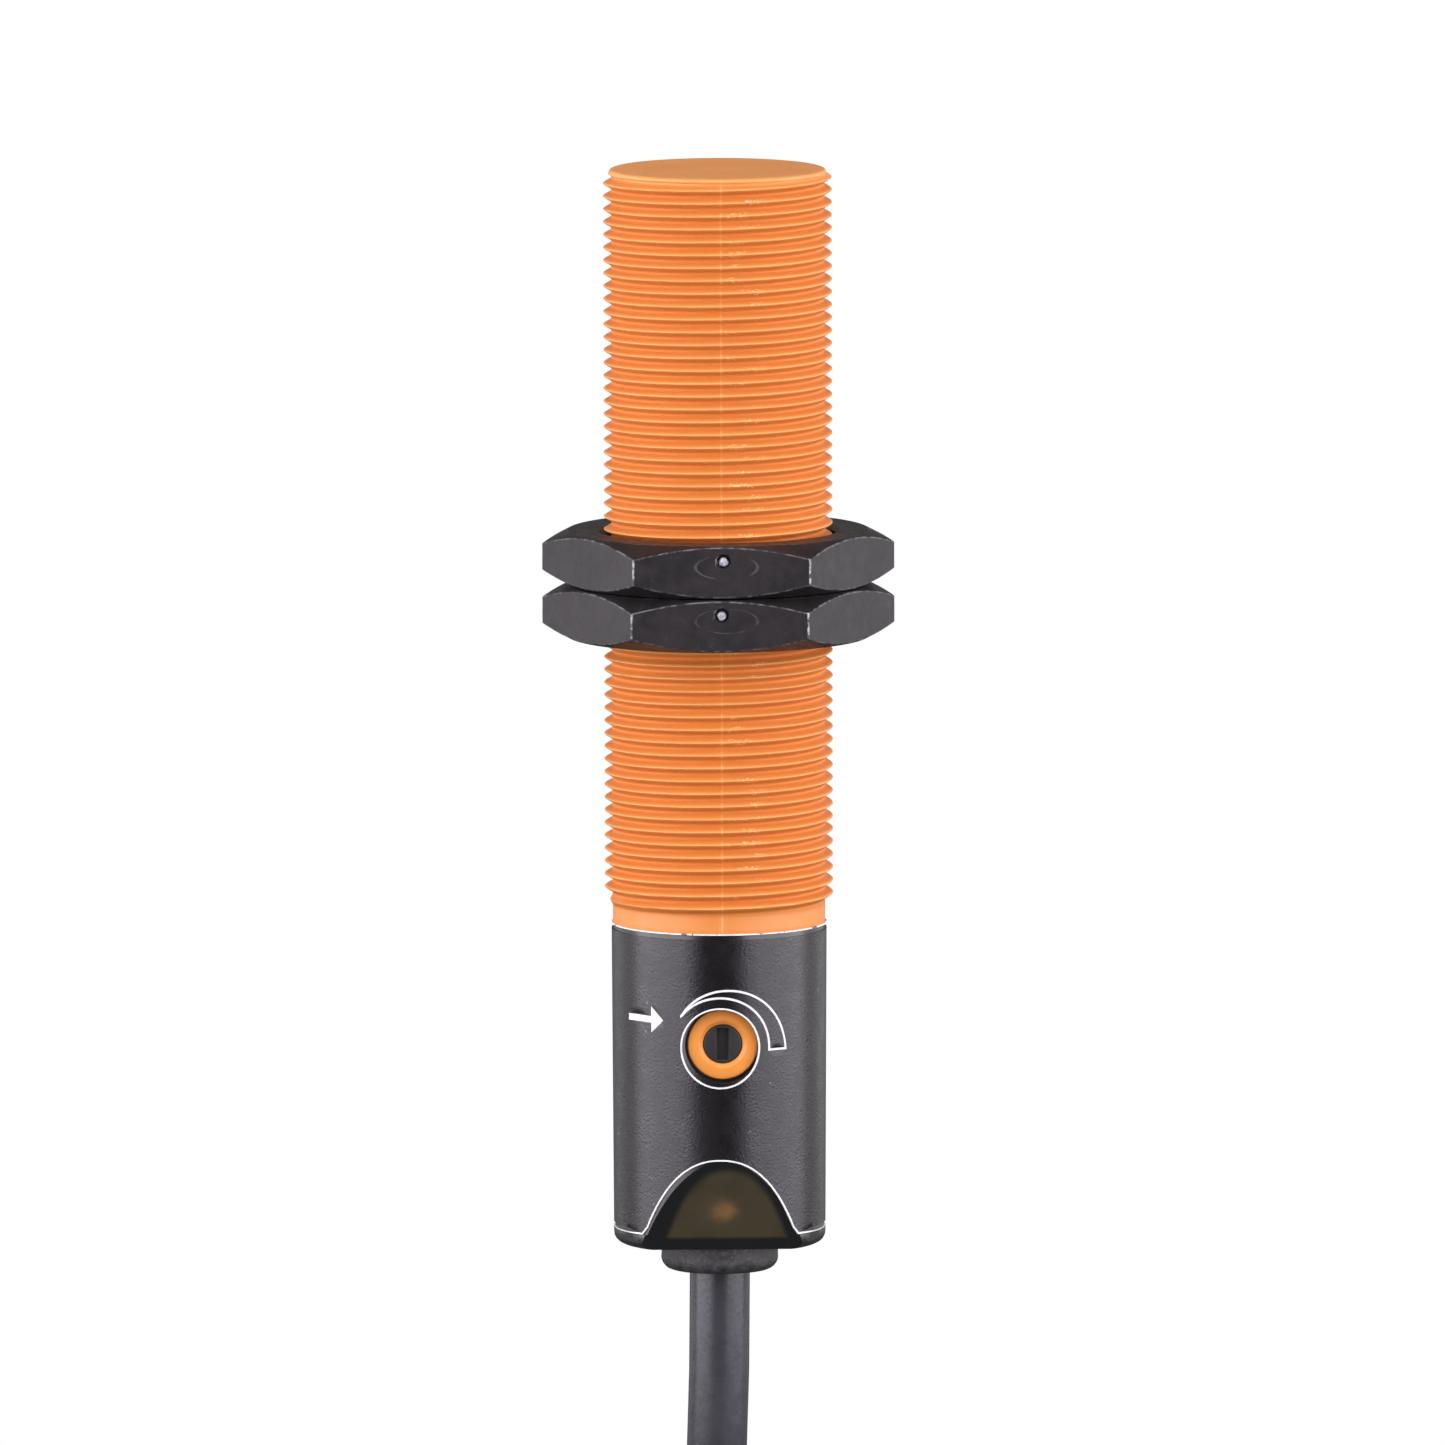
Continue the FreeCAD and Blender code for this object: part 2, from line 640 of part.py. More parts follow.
def solder_joints():
    joints = []
    for _, _, pad_x in CORE_PADS.values():
        bead = block(
            (pad_x - 0.45, pad_x + 0.45), (BOARD_BACK_Y, CORE_Y + 0.35), (CORE_TOP_Z, CORE_TOP_Z + 1.1)
        )
        joints.append(bead.makeFillet(0.2, bead.Edges))
    return group(joints)


# ---- free cable --------------------------------------------------------------------------
COIL_OUTER_TURN = COIL_MIDDLE_RADIUS + COIL_LAYER_PITCH * (COIL_LAYERS - 1) / 2
COIL_INNER_TURN = COIL_MIDDLE_RADIUS - COIL_LAYER_PITCH * (COIL_LAYERS - 1) / 2
COIL_OUTER_RADIUS = COIL_OUTER_TURN + CABLE_RADIUS + COIL_ALLOWANCE
COIL_INNER_RADIUS = COIL_INNER_TURN - CABLE_RADIUS - COIL_ALLOWANCE
COIL_FIRST_X = -COIL_TURN_PITCH * (COIL_TURNS_PER_LAYER - 1) / 2
COIL_HALF_THICKNESS = CABLE_RADIUS - COIL_FIRST_X + COIL_ALLOWANCE

JOIN_ANGLE = math.radians(COIL_JOIN_DEG)
JOIN_RUN = COIL_OUTER_TURN * math.cos(JOIN_ANGLE) / math.sin(JOIN_ANGLE)
LEAD_CORNER_Z = GROMMET_LOW_Z - LEAD_FIRST_RUN
COIL_Z = LEAD_CORNER_Z - JOIN_RUN * math.cos(JOIN_ANGLE) - COIL_OUTER_TURN * math.sin(JOIN_ANGLE)
TAIL_X = -COIL_FIRST_X + COIL_TURN_PITCH + TAIL_CLEARANCE


def cable_coil():
    """Outer shape of the wound coil: a ring with a rounded square section."""
    half = COIL_HALF_THICKNESS
    corners = [
        V(-half, COIL_INNER_RADIUS, COIL_Z),
        V(half, COIL_INNER_RADIUS, COIL_Z),
        V(half, COIL_OUTER_RADIUS, COIL_Z),
        V(-half, COIL_OUTER_RADIUS, COIL_Z),
    ]
    face = Part.Face(Part.makePolygon(corners + corners[:1]))
    ring = face.revolve(V(0, 0, COIL_Z), V(1, 0, 0), 360)
    return ring.makeFillet(CABLE_RADIUS - 0.2, ring.Edges)


def cable_lead():
    """From the grommet straight down, then backwards into the coil's outermost turn."""
    share = LEAD_LAST_RUN / JOIN_RUN
    route = [
        V(0, 0, GROMMET_LOW_Z),
        V(0, 0, LEAD_CORNER_Z),
        V(
            COIL_FIRST_X * share,
            LEAD_LAST_RUN * math.sin(JOIN_ANGLE),
            LEAD_CORNER_Z - LEAD_LAST_RUN * math.cos(JOIN_ANGLE),
        ),
    ]
    return round_bar(route, CABLE_RADIUS, "cable_lead").cut(cable_coil())


def tail_route():
    """The free end beside the coil, from the innermost turn downwards."""
    start_angle = math.radians(TAIL_START_DEG)
    return [
        V(TAIL_X, COIL_INNER_TURN * math.cos(start_angle), COIL_Z + COIL_INNER_TURN * math.sin(start_angle)),
        V(TAIL_X, COIL_INNER_TURN + 0.4, COIL_Z - 0.5),
        V(TAIL_X, COIL_INNER_TURN - 1.2, COIL_Z - 11.0),
    ]


def cable_tail():
    return round_bar(tail_route(), CABLE_RADIUS, "cable_tail")


def cable_ties():
    """Two straps that hold the turns together, at the coil's top and bottom."""
    half = COIL_HALF_THICKNESS + TIE_THICKNESS
    low = COIL_INNER_RADIUS - TIE_THICKNESS
    high = COIL_OUTER_RADIUS + TIE_THICKNESS
    corners = [V(-half, low, COIL_Z), V(half, low, COIL_Z), V(half, high, COIL_Z), V(-half, high, COIL_Z)]
    face = Part.Face(Part.makePolygon(corners + corners[:1]))
    straps = []
    for middle_deg in TIE_PLACES_DEG:
        sector = face.revolve(V(0, 0, COIL_Z), V(1, 0, 0), TIE_WIDTH_DEG)
        sector.rotate(V(0, 0, COIL_Z), V(1, 0, 0), middle_deg - TIE_WIDTH_DEG / 2)
        straps.append(sector.cut(cable_coil()))
    return group(straps)


def end_core(place):
    """Route of a stripped core beyond the jacket's end; place is 0, 1 or 2 across the cable."""
    start, end = tail_route()[-2:]
    along = (end - start).normalize()
    across = V(0, along.z, -along.y) * (place - 1)
    outwards = V(1, 0, 0)
    base = end + across * CORE_SPACING
    return [
        base,
        base + along * CORE_END_LENGTH * 0.3,
        base + along * CORE_END_LENGTH * 0.65 + across * 1.5 + outwards * 0.6,
        base + along * CORE_END_LENGTH + across * 1.9 + outwards * 0.4,
    ]


def end_core_bar(place):
    return round_bar(end_core(place), CORE_RADIUS)


def core_ferrules():
    tips = []
    for place in range(3):
        before, tip = end_core(place)[-2:]
        tips.append(Part.makeCylinder(CORE_RADIUS + 0.1, FERRULE_LENGTH, tip, tip - before))
    return group(tips)


# ---- write one file per node -------------------------------------------------------------
NODES = {
    "barrel_housing": barrel_housing(),
    "rear_housing": rear_housing(),
    "label_sleeve": label_sleeve(),
    "barrel_o_ring": barrel_o_ring(),
    "upper_nut": nut(NUT_GAP / 2, UPPER_NUT_TURN_DEG),
    "lower_nut": nut(-NUT_GAP / 2 - NUT_HEIGHT, LOWER_NUT_TURN_DEG),
    "trimmer_ring": trimmer_ring(),
    "trimmer_screw": trimmer_screw(),
    "trimmer_wiper": trimmer_wiper(),
    "trimmer_o_ring": trimmer_o_ring(),
    "trimmer_case": trimmer_case(),
    "trimmer_track": trimmer_track(),
    "sensing_electrode": sensing_electrode(),
    "guard_electrode": guard_electrode(),
    "electrode_board": electrode_board(),
    "electrode_pins": electrode_pins(),
    "shield_sleeve": shield_sleeve(),
    "board_holders": board_holders(),
    "main_board": main_board(),
    "oscillator_chip": oscillator_chip(),
    "evaluation_chip": evaluation_chip(),
    "voltage_regulator": voltage_regulator(),
    "output_transistors": output_transistors(),
    "protection_diodes": protection_diodes(),
    "storage_capacitor": storage_capacitor(),
    "ceramic_capacitors": ceramic_capacitors(),
    "chip_resistors": chip_resistors(),
    "status_led": status_led(),
    "led_leads": led_leads(),
    "cable_grommet": cable_grommet(),
    "cable_jacket_end": cable_jacket_end(),
    "cable_crimp_ring": cable_crimp_ring(),
    "inner_core_brown": inner_core("brown"),
    "inner_core_black": inner_core("black"),
    "inner_core_blue": inner_core("blue"),
    "solder_joints": solder_joints(),
    "cable_lead": cable_lead(),
    "cable_coil": cable_coil(),
    "cable_tail": cable_tail(),
    "cable_ties": cable_ties(),
    "end_core_brown": end_core_bar(0),
    "end_core_black": end_core_bar(1),
    "end_core_blue": end_core_bar(2),
    "core_ferrules": core_ferrules(),
}

os.makedirs("parts", exist_ok=True)
for name, shape in NODES.items():
    volumes = [solid.Volume for solid in shape.Solids]
    state = "valid" if shape.isValid() else "INVALID"
    print(f"{name}: {len(volumes)} solid(s), {sum(volumes):.2f} mm3, {state}")
    shape.exportStep(f"parts/{name}.step")
print(f"coil centre z {COIL_Z:.2f}, lowest point {COIL_Z - COIL_OUTER_RADIUS:.2f}")
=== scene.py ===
import math
import bmesh
import bpy
from mathutils import Matrix, Vector, noise
from mathutils.geometry import delaunay_2d_cdt


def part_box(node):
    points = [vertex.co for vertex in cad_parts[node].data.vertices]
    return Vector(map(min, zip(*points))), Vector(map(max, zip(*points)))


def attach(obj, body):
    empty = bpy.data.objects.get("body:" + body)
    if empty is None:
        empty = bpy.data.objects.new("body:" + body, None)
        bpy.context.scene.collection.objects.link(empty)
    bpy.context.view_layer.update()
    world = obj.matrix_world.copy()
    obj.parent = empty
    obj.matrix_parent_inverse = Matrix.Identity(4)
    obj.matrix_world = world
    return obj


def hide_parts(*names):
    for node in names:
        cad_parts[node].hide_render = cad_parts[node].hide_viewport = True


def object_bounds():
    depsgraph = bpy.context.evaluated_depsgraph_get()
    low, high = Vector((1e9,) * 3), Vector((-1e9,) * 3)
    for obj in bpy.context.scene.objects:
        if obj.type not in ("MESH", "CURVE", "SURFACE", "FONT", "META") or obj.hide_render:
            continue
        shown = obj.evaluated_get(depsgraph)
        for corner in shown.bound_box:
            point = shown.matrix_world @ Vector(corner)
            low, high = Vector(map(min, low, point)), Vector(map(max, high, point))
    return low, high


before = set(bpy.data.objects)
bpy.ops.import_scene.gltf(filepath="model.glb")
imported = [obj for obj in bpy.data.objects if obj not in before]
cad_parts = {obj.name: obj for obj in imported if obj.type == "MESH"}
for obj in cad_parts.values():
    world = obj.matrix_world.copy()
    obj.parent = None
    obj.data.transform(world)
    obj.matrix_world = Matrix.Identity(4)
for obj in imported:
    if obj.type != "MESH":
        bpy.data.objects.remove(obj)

CAD_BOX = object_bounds()
MM = 0.001
FULL_TURN = math.tau


def low(node):
    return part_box(node)[0]


def high(node):
    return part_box(node)[1]


# ---- sizes read from the frame
CREST_RADIUS = high("barrel_housing").y
FACE_Z = high("barrel_housing").z
SEAM_Z = low("barrel_housing").z
RIM_RADIUS = high("rear_housing").y
REAR_END_Z = low("rear_housing").z
SPIGOT_TOP_Z = high("rear_housing").z
LABEL_LOW_Z = low("label_sleeve").z
GROMMET_RADIUS = high("cable_grommet").y
EXIT_Z = low("cable_grommet").z
RING_RADIUS = high("trimmer_ring").x
RING_FRONT_Y = low("trimmer_ring").y
RING_BACK_Y = high("trimmer_ring").y
TRIMMER_Z = (high("trimmer_ring").z + low("trimmer_ring").z) / 2
SCREW_FRONT_Y = low("trimmer_screw").y

# ---- finer sizes, which the plain parts leave out
PITCH = 1.0 * MM
ROOT_RADIUS = 8.27 * MM
BARREL_BORE = 7.2 * MM
FIRST_CREST_Z = FACE_Z - 0.62 * MM
REAR_TOP_RADIUS = 8.26 * MM
REAR_LOW_RADIUS = 8.13 * MM
REAR_BORE = 7.0 * MM
FLAT_TOP_Z = -44.5 * MM
FLAT_DEPTH = 3.0 * MM
FLAT_WALL = 1.3 * MM
FILM = 0.12 * MM
LABEL_TURN = math.radians(-1.6)
LABEL_HOLE_RADIUS = 3.05 * MM
LABEL_HOLE_Z = -35.5 * MM
WINDOW_TOP_Z = -44.35 * MM
WINDOW_HALF_WIDTH = 6.9 * MM
MARGIN = 0.125 * MM
LED_Z = -48.5 * MM
BAND_Z = -25.0 * MM
NECK_RADIUS = 3.6 * MM
REAR_FLOOR_Z = REAR_END_Z + 1.5 * MM
SLANT = math.atan(FLAT_DEPTH / (FLAT_TOP_Z - REAR_END_Z))
CABLE_DIAMETER = 4.7 * MM

COIL_MIDDLE_RADIUS = 27.4 * MM
COIL_LAYERS = 3
COIL_TURNS_PER_LAYER = 4
COIL_LAYER_PITCH = 4.75 * MM
COIL_TURN_PITCH = 4.8 * MM
COIL_JOIN_DEG = 40.0
TAIL_START_DEG = 28.0
LEAD_RUN = 25.7 * MM
STRAP_PLACES_DEG = (105.0, -90.0)


# ---- node-based materials
class Nodes:
    """A node tree, with short calls for the nodes used here; a value may be another node's socket."""

    def __init__(self, tree, coords_kind):
        self.tree = tree
        self.coords = self.node("TexCoord").outputs[coords_kind]

    def give(self, socket, value):
        if isinstance(value, bpy.types.NodeSocket):
            self.tree.links.new(value, socket)
        elif socket.type == "RGBA":
            socket.default_value = (*value, 1.0)
        else:
            socket.default_value = value

    def node(self, kind, settings=None, **inputs):
        node = self.tree.nodes.new("ShaderNode" + kind)
        for key, value in (settings or {}).items():
            setattr(node, key, value)
        for key, value in inputs.items():
            self.give(node.inputs[key.replace("_", " ")], value)
        return node

    def maths(self, operation, *values):
        node = self.node("Math", {"operation": operation})
        for socket, value in zip(node.inputs, values):
            self.give(socket, value)
        return node.outputs[0]

    def times(self, first, *others):
        for other in others:
            first = self.maths("MULTIPLY", first, other)
        return first

    def plus(self, first, second):
        return self.maths("ADD", first, second)

    def minus(self, first, second):
        return self.maths("SUBTRACT", first, second)

    def square(self, value):
        return self.maths("POWER", value, 2.0)

    def apart(self, value, centre):
        """Distance of a value from a centre."""
        return self.maths("ABSOLUTE", self.minus(value, centre))

    def mapped(self, value, from_low, from_high, to_low=0.0, to_high=1.0):
        node = self.node("MapRange", {"interpolation_type": "SMOOTHSTEP"}, Value=value, From_Min=from_low,
                         From_Max=from_high, To_Min=to_low, To_Max=to_high)
        return node.outputs["Result"]

    def blended(self, share, first, second):
        """Mix of two colours."""
        node = self.node("Mix", {"data_type": "RGBA"})
        for index, value in ((0, share), (6, first), (7, second)):
            self.give(node.inputs[index], value)
        return node.outputs[2]

    def vector(self, operation, value, output=0):
        """The coordinates combined with a vector."""
        node = self.node("VectorMath", {"operation": operation})
        self.give(node.inputs[0], self.coords)
        self.give(node.inputs[1], value)
        return node.outputs[output]

    def xyz(self):
        return self.node("SeparateXYZ", Vector=self.coords).outputs

    def noise(self, per_metre, detail=3.0, roughness=0.5, coords=None):
        node = self.node("TexNoise", Vector=coords or self.coords, Scale=per_metre, Detail=detail,
                         Roughness=roughness)
        return node.outputs["Fac"]

    def spots(self, per_metre, detail, roughness, low, high, to_low=0.0, to_high=1.0):
        """Noise cut off between two levels."""
        return self.mapped(self.noise(per_metre, detail, roughness), low, high, to_low, to_high)

    def uneven(self, per_metre, low, high, detail=3.0):
        """A value that drifts between low and high."""
        return self.spots(per_metre, detail, 0.5, 0.3, 0.7, low, high)

    def shades(self, per_metre, dark, light, detail=4.0):
        """A colour that drifts between dark and light."""
        return self.blended(self.uneven(per_metre, 0.0, 1.0, detail), dark, light)


class Look(Nodes):
    """A material with one Principled shader, whose sockets are fed by name."""

    def __init__(self, name, **sockets):
        self.material = bpy.data.materials.new(name)
        self.material.use_nodes = True
        super().__init__(self.material.node_tree, "Object")
        self.shader = self.tree.nodes["Principled BSDF"]
        self.feed(**sockets)

    def feed(self, **sockets):
        for key, value in sockets.items():
            self.give(self.shader.inputs[key.replace("_", " ")], value)

    def bumps(self, *layers):
        """Chain bump nodes; each layer is (height socket, depth in metres)."""
        for height, depth in layers:
            bump = self.node("Bump", Height=height, Strength=1.0, Distance=depth)
            if self.shader.inputs["Normal"].is_linked:
                self.give(bump.inputs["Normal"], self.shader.inputs["Normal"].links[0].from_socket)
            self.feed(Normal=bump.outputs["Normal"])
        return self.material


def moulded_plastic(name, colour, roughness, grain_per_metre=3000.0, grain_depth=0.006 * MM,
                    mottling=0.12, mottle_per_metre=160.0, **sockets):
    """Plastic with a fine moulded grain, slow colour variation and uneven gloss."""
    look = Look(name, **sockets)
    dark = tuple(c * (1 - mottling) for c in colour)
    light = tuple(min(1.0, c * (1 + mottling)) for c in colour)
    look.feed(Base_Color=look.shades(mottle_per_metre, dark, light),
              Roughness=look.uneven(mottle_per_metre * 4, roughness - 0.05, roughness + 0.05))
    return look.bumps((look.noise(grain_per_metre, 2.0), grain_depth))


def drawn_metal(name, colour, roughness, along=(1, 1, 1), tarnish=(0.35, 0.3, 0.25)):
    """Metal with fine stretched scratches and a little tarnish."""
    look = Look(name, Metallic=1.0)
    scratches = look.noise(5000.0, coords=look.vector("MULTIPLY", along))
    tarnished = look.spots(700.0, 5.0, 0.6, 0.55, 0.8, 0.0, 0.6)
    look.feed(Base_Color=look.blended(tarnished, colour, tarnish),
              Roughness=look.mapped(scratches, 0.25, 0.75, roughness - 0.08, roughness + 0.12))
    return look.bumps((scratches, 0.003 * MM))


def orange_material():
    """Orange plastic: paler crests and a pale parting line, both painted highlights; scuffs beside the
    parting line.
    """
    flank_colour = (0.61, 0.195, 0.041)
    # Used for the real scuffs and for the painted highlight on the parting line.
    scuff_colour = (1.0, 0.56, 0.26)
    parting_x = -0.07 * MM
    look = Look("orange_moulded", IOR=1.5)
    x, y, z = look.xyz()
    reach = look.maths("SQRT", look.plus(look.square(x), look.square(y)))
    valley = look.mapped(reach, CREST_RADIUS - 0.1 * MM, ROOT_RADIUS + 0.12 * MM)
    off_crest_highlight = look.mapped(reach, CREST_RADIUS - 0.01 * MM, CREST_RADIUS - 0.26 * MM)
    on_thread = look.times(look.mapped(z, FACE_Z - 0.4 * MM, FACE_Z - 0.7 * MM),
                           look.mapped(z, BAND_Z - 0.4 * MM, BAND_Z, 0.55, 1.0))
    # The paler crest colour is a painted highlight along the crests.
    base = look.blended(look.times(off_crest_highlight, on_thread),
                        look.shades(130.0, (0.72, 0.285, 0.078), (0.78, 0.32, 0.095)), flank_colour)
    front = look.mapped(y, -7.0 * MM, -7.6 * MM)
    beside = look.times(look.mapped(x, 0.1 * MM, 0.5 * MM), look.mapped(x, 3.8 * MM, 2.2 * MM))
    lengthwise = look.vector("MULTIPLY", (1.0, 1.0, 2.6))
    patches = look.mapped(look.noise(330.0, 2.0, coords=lengthwise), 0.53, 0.58)
    scuffed = look.times(beside, front, patches, look.mapped(valley, 0.9, 0.3))
    nicks = look.noise(5200.0, 2.0, 0.6)
    on_line = look.mapped(look.apart(x, parting_x), 0.1 * MM, 0.03 * MM)
    on_thread_line = look.times(on_line, look.mapped(valley, 1.0, 0.2, 0.12, 0.3))
    on_band_line = look.mapped(z, BAND_Z, BAND_Z - 0.6 * MM, 0.0, 0.2)
    # The pale line along the parting ridge is a painted highlight.
    parting = look.times(look.plus(on_thread_line, on_band_line), on_line, front,
                         look.spots(900.0, 3.0, 0.5, 0.35, 0.6, 0.4, 1.0))
    # pale joins the real scuffs and the parting line's painted highlight.
    pale = look.maths("MAXIMUM", look.times(scuffed, look.mapped(nicks, 0.5, 0.6, 0.0, 0.8)), parting)
    on_face = look.mapped(z, FACE_Z - 0.03 * MM, FACE_Z - 0.01 * MM, 0.5, 0.12)
    matt_valley = look.mapped(look.times(valley, on_thread), 0.2, 1.0, 1.0, 0.35)
    look.feed(Base_Color=look.blended(pale, base, scuff_colour), Roughness=look.uneven(900.0, 0.36, 0.47),
              Specular_IOR_Level=look.times(on_face, matt_valley))
    return look.bumps((look.noise(4200.0, 2.0), 0.006 * MM), (look.times(nicks, scuffed), 0.05 * MM))


def nut_material(name, pit_z):
    """Dark nylon with bright worn edges, faint scuffs and a ring mark round the moulding pit."""
    scuff_colour = (0.42, 0.42, 0.46)
    edge_colour = (0.6, 0.6, 0.66)
    ring_radius = 2.4 * MM
    ring_flattening = 2.55
    look = Look(name, IOR=1.46, Specular_Tint=(0.98, 0.93, 1.0))
    x, y, z = look.xyz()
    worn = look.node("Attribute", {"attribute_name": "wear"}).outputs["Fac"]
    edge = look.times(worn, look.spots(1500.0, 4.0, 0.65, 0.4, 0.62), 0.7)
    across = look.minus(x, 0.2 * MM)
    down = look.times(look.minus(z, pit_z - 0.45 * MM), ring_flattening)
    away = look.maths("SQRT", look.plus(look.square(across), look.square(down)))
    ring = look.times(look.mapped(look.apart(away, ring_radius), 0.16 * MM, 0.03 * MM),
                      look.mapped(y, -11.6 * MM, -11.8 * MM),
                      look.mapped(z, pit_z + 0.5 * MM, pit_z - 0.6 * MM, 0.3, 1.0),
                      look.spots(700.0, 2.0, 0.5, 0.42, 0.6))
    specks = look.spots(2600.0, 3.0, 0.6, 0.66, 0.74, 0.0, 0.35)
    scuffs = look.spots(500.0, 5.0, 0.7, 0.58, 0.72, 0.0, 0.1)
    marks = look.plus(look.times(ring, 0.1), look.times(scuffs, look.plus(specks, 0.3)))
    base = look.shades(300.0, (0.0105, 0.009, 0.0097), (0.017, 0.015, 0.016))
    look.feed(Base_Color=look.blended(edge, look.blended(marks, base, scuff_colour), edge_colour),
              Roughness=look.uneven(1100.0, 0.4, 0.5))
    return look.bumps((look.noise(3600.0), 0.012 * MM), (ring, 0.02 * MM))


def film_material():
    """Black label film: satin, with a fine pebbled grain and a few dust specks."""
    look = Look("label_black_film", IOR=1.52, Specular_Tint=(0.95, 0.93, 1.0))
    base = look.shades(250.0, (0.0055, 0.0048, 0.006), (0.008, 0.0072, 0.0086), 3.0)
    dust = look.spots(2300.0, 2.0, 0.6, 0.735, 0.765, 0.0, 0.5)
    look.feed(Base_Color=look.blended(dust, base, (0.4, 0.4, 0.42)), Roughness=look.uneven(800.0, 0.24, 0.31))
    pebbles = look.node("TexVoronoi", {"feature": "SMOOTH_F1"}, Vector=look.coords, Scale=5200.0)
    return look.bumps((pebbles.outputs["Distance"], 0.006 * MM), (look.noise(6000.0), 0.017 * MM))


def white_print_material():
    """White print with a faint painted glow, broken up along the label's upper edge, where the film shows
    through.
    """
    film_colour = (0.012, 0.011, 0.013)
    # The faint emission is a painted glow that brightens the white print.
    look = Look("label_white_print", IOR=1.5, Emission_Strength=0.02)
    z = look.xyz()["Z"]
    at_seam = look.mapped(z, SEAM_Z - 0.2 * MM, SEAM_Z - 0.15 * MM)
    gaps = look.spots(900.0, 5.0, 0.75, 0.52, 0.62)
    low_half = look.mapped(z, SEAM_Z - 0.06 * MM, SEAM_Z - 0.075 * MM)
    hidden = look.times(at_seam, look.maths("MAXIMUM", gaps, low_half))
    base = look.blended(hidden, look.shades(1200.0, (0.66, 0.66, 0.68), (0.8, 0.8, 0.82), 3.0), film_colour)
    satin = look.minus(look.uneven(1200.0, 0.5, 0.62), look.times(hidden, 0.25))
    look.feed(Base_Color=base, Emission_Color=base, Roughness=satin)
    return look.bumps((look.noise(3000.0, 2.0), 0.006 * MM))


def smoked_material():
    """Smoked plastic, nearly black: painted light, olive, through the slanted flat and a painted glow at the
    LED.
    """
    dark, olive, painted_glow_colour = (0.0035, 0.0045, 0.005), (0.036, 0.029, 0.015), (0.125, 0.066, 0.026)
    dome_x, dome_top_z = 0.35 * MM, -44.9 * MM
    dome_half_width, dome_height = 4.85 * MM, 5.7 * MM
    lip_z = -50.9 * MM
    glow_x, glow_half_width, glow_half_height = 0.05 * MM, 1.15 * MM, 0.9 * MM
    look = Look("smoked_housing", IOR=1.52, Coat_Weight=0.25, Coat_Roughness=0.18)
    x, y, z = look.xyz()
    front = look.mapped(y, -4.6 * MM, -5.4 * MM)
    across = look.maths("DIVIDE", look.apart(x, dome_x), dome_half_width)
    below_top = look.maths("DIVIDE", look.minus(dome_top_z, z), dome_height)
    dome = look.maths("POWER", look.maths("MAXIMUM", below_top, 0.0), 0.75)
    # Olive colour and faint emission painted where light comes through the slanted flat: painted light.
    painted_light_through = look.times(look.mapped(look.minus(dome, look.square(across)), -0.02, 0.2), front,
                     look.mapped(z, lip_z, lip_z + 0.35 * MM))
    cloud = look.spots(350.0, 4.0, 0.5, 0.25, 0.75, 0.75, 1.15)
    aside = look.square(look.maths("DIVIDE", look.minus(x, glow_x), glow_half_width))
    above = look.square(look.maths("DIVIDE", look.minus(z, LED_Z), glow_half_height))
    ragged = look.plus(look.plus(aside, above), look.spots(1300.0, 2.0, 0.5, 0.2, 0.8, -0.25, 0.25))
    # A painted glow round the LED's place, given in colour and emission.
    glow = look.times(look.maths("EXPONENT", look.times(ragged, -1.5)), front)
    colour_with_painted_light = look.blended(glow, look.blended(look.times(painted_light_through, cloud), dark, olive), painted_glow_colour)
    rim = look.mapped(z, LABEL_LOW_Z + 0.05 * MM, LABEL_LOW_Z - 0.05 * MM)
    on_rim = look.times(rim, look.mapped(front, 0.6, 0.1))
    # The emission carries the painted light through the flat and the painted glow.
    look.feed(Base_Color=colour_with_painted_light, Emission_Color=colour_with_painted_light, Roughness=look.mapped(on_rim, 0.0, 1.0, 0.3, 0.46),
              Emission_Strength=look.plus(look.times(painted_light_through, 0.28), look.times(glow, 0.35)))
    rough = look.times(look.noise(1900.0, 4.0, 0.6), look.mapped(on_rim, 0.0, 1.0, 0.12, 1.0))
    return look.bumps((rough, 0.05 * MM))


def grommet_material():
    """Dark rubber, rough and mottled, with specks and one small nub whose lighter colour is a painted
    highlight.
    """
    nub_place = (2.3 * MM, -5.3 * MM, REAR_END_Z - 0.9 * MM)
    look = Look("grommet_rubber", IOR=1.5)
    blotches = look.noise(1500.0, 5.0, 0.7)
    base = look.blended(look.mapped(blotches, 0.35, 0.65), (0.014, 0.0135, 0.015), (0.045, 0.044, 0.049))
    nub = look.mapped(look.vector("DISTANCE", nub_place, "Value"), 0.42 * MM, 0.1 * MM)
    # bright joins the real specks and the nub's painted highlight.
    bright = look.maths("MAXIMUM", look.spots(3300.0, 3.0, 0.6, 0.62, 0.72, 0.0, 0.5), look.times(nub, 0.6))
    look.feed(Base_Color=look.blended(bright, base, (0.16, 0.16, 0.17)),
              Roughness=look.mapped(blotches, 0.3, 0.7, 0.45, 0.62))
    return look.bumps((blotches, 0.09 * MM), (nub, 0.25 * MM))


def jacket_material():
    """Grey cable jacket: satin, with fine grain."""
    look = Look("cable_jacket_grey", IOR=1.6)
    look.feed(Base_Color=look.shades(220.0, (0.029, 0.030, 0.038), (0.040, 0.041, 0.051)),
              Roughness=look.uneven(1200.0, 0.22, 0.3))
    return look.bumps((look.noise(3000.0, 2.0), 0.008 * MM))


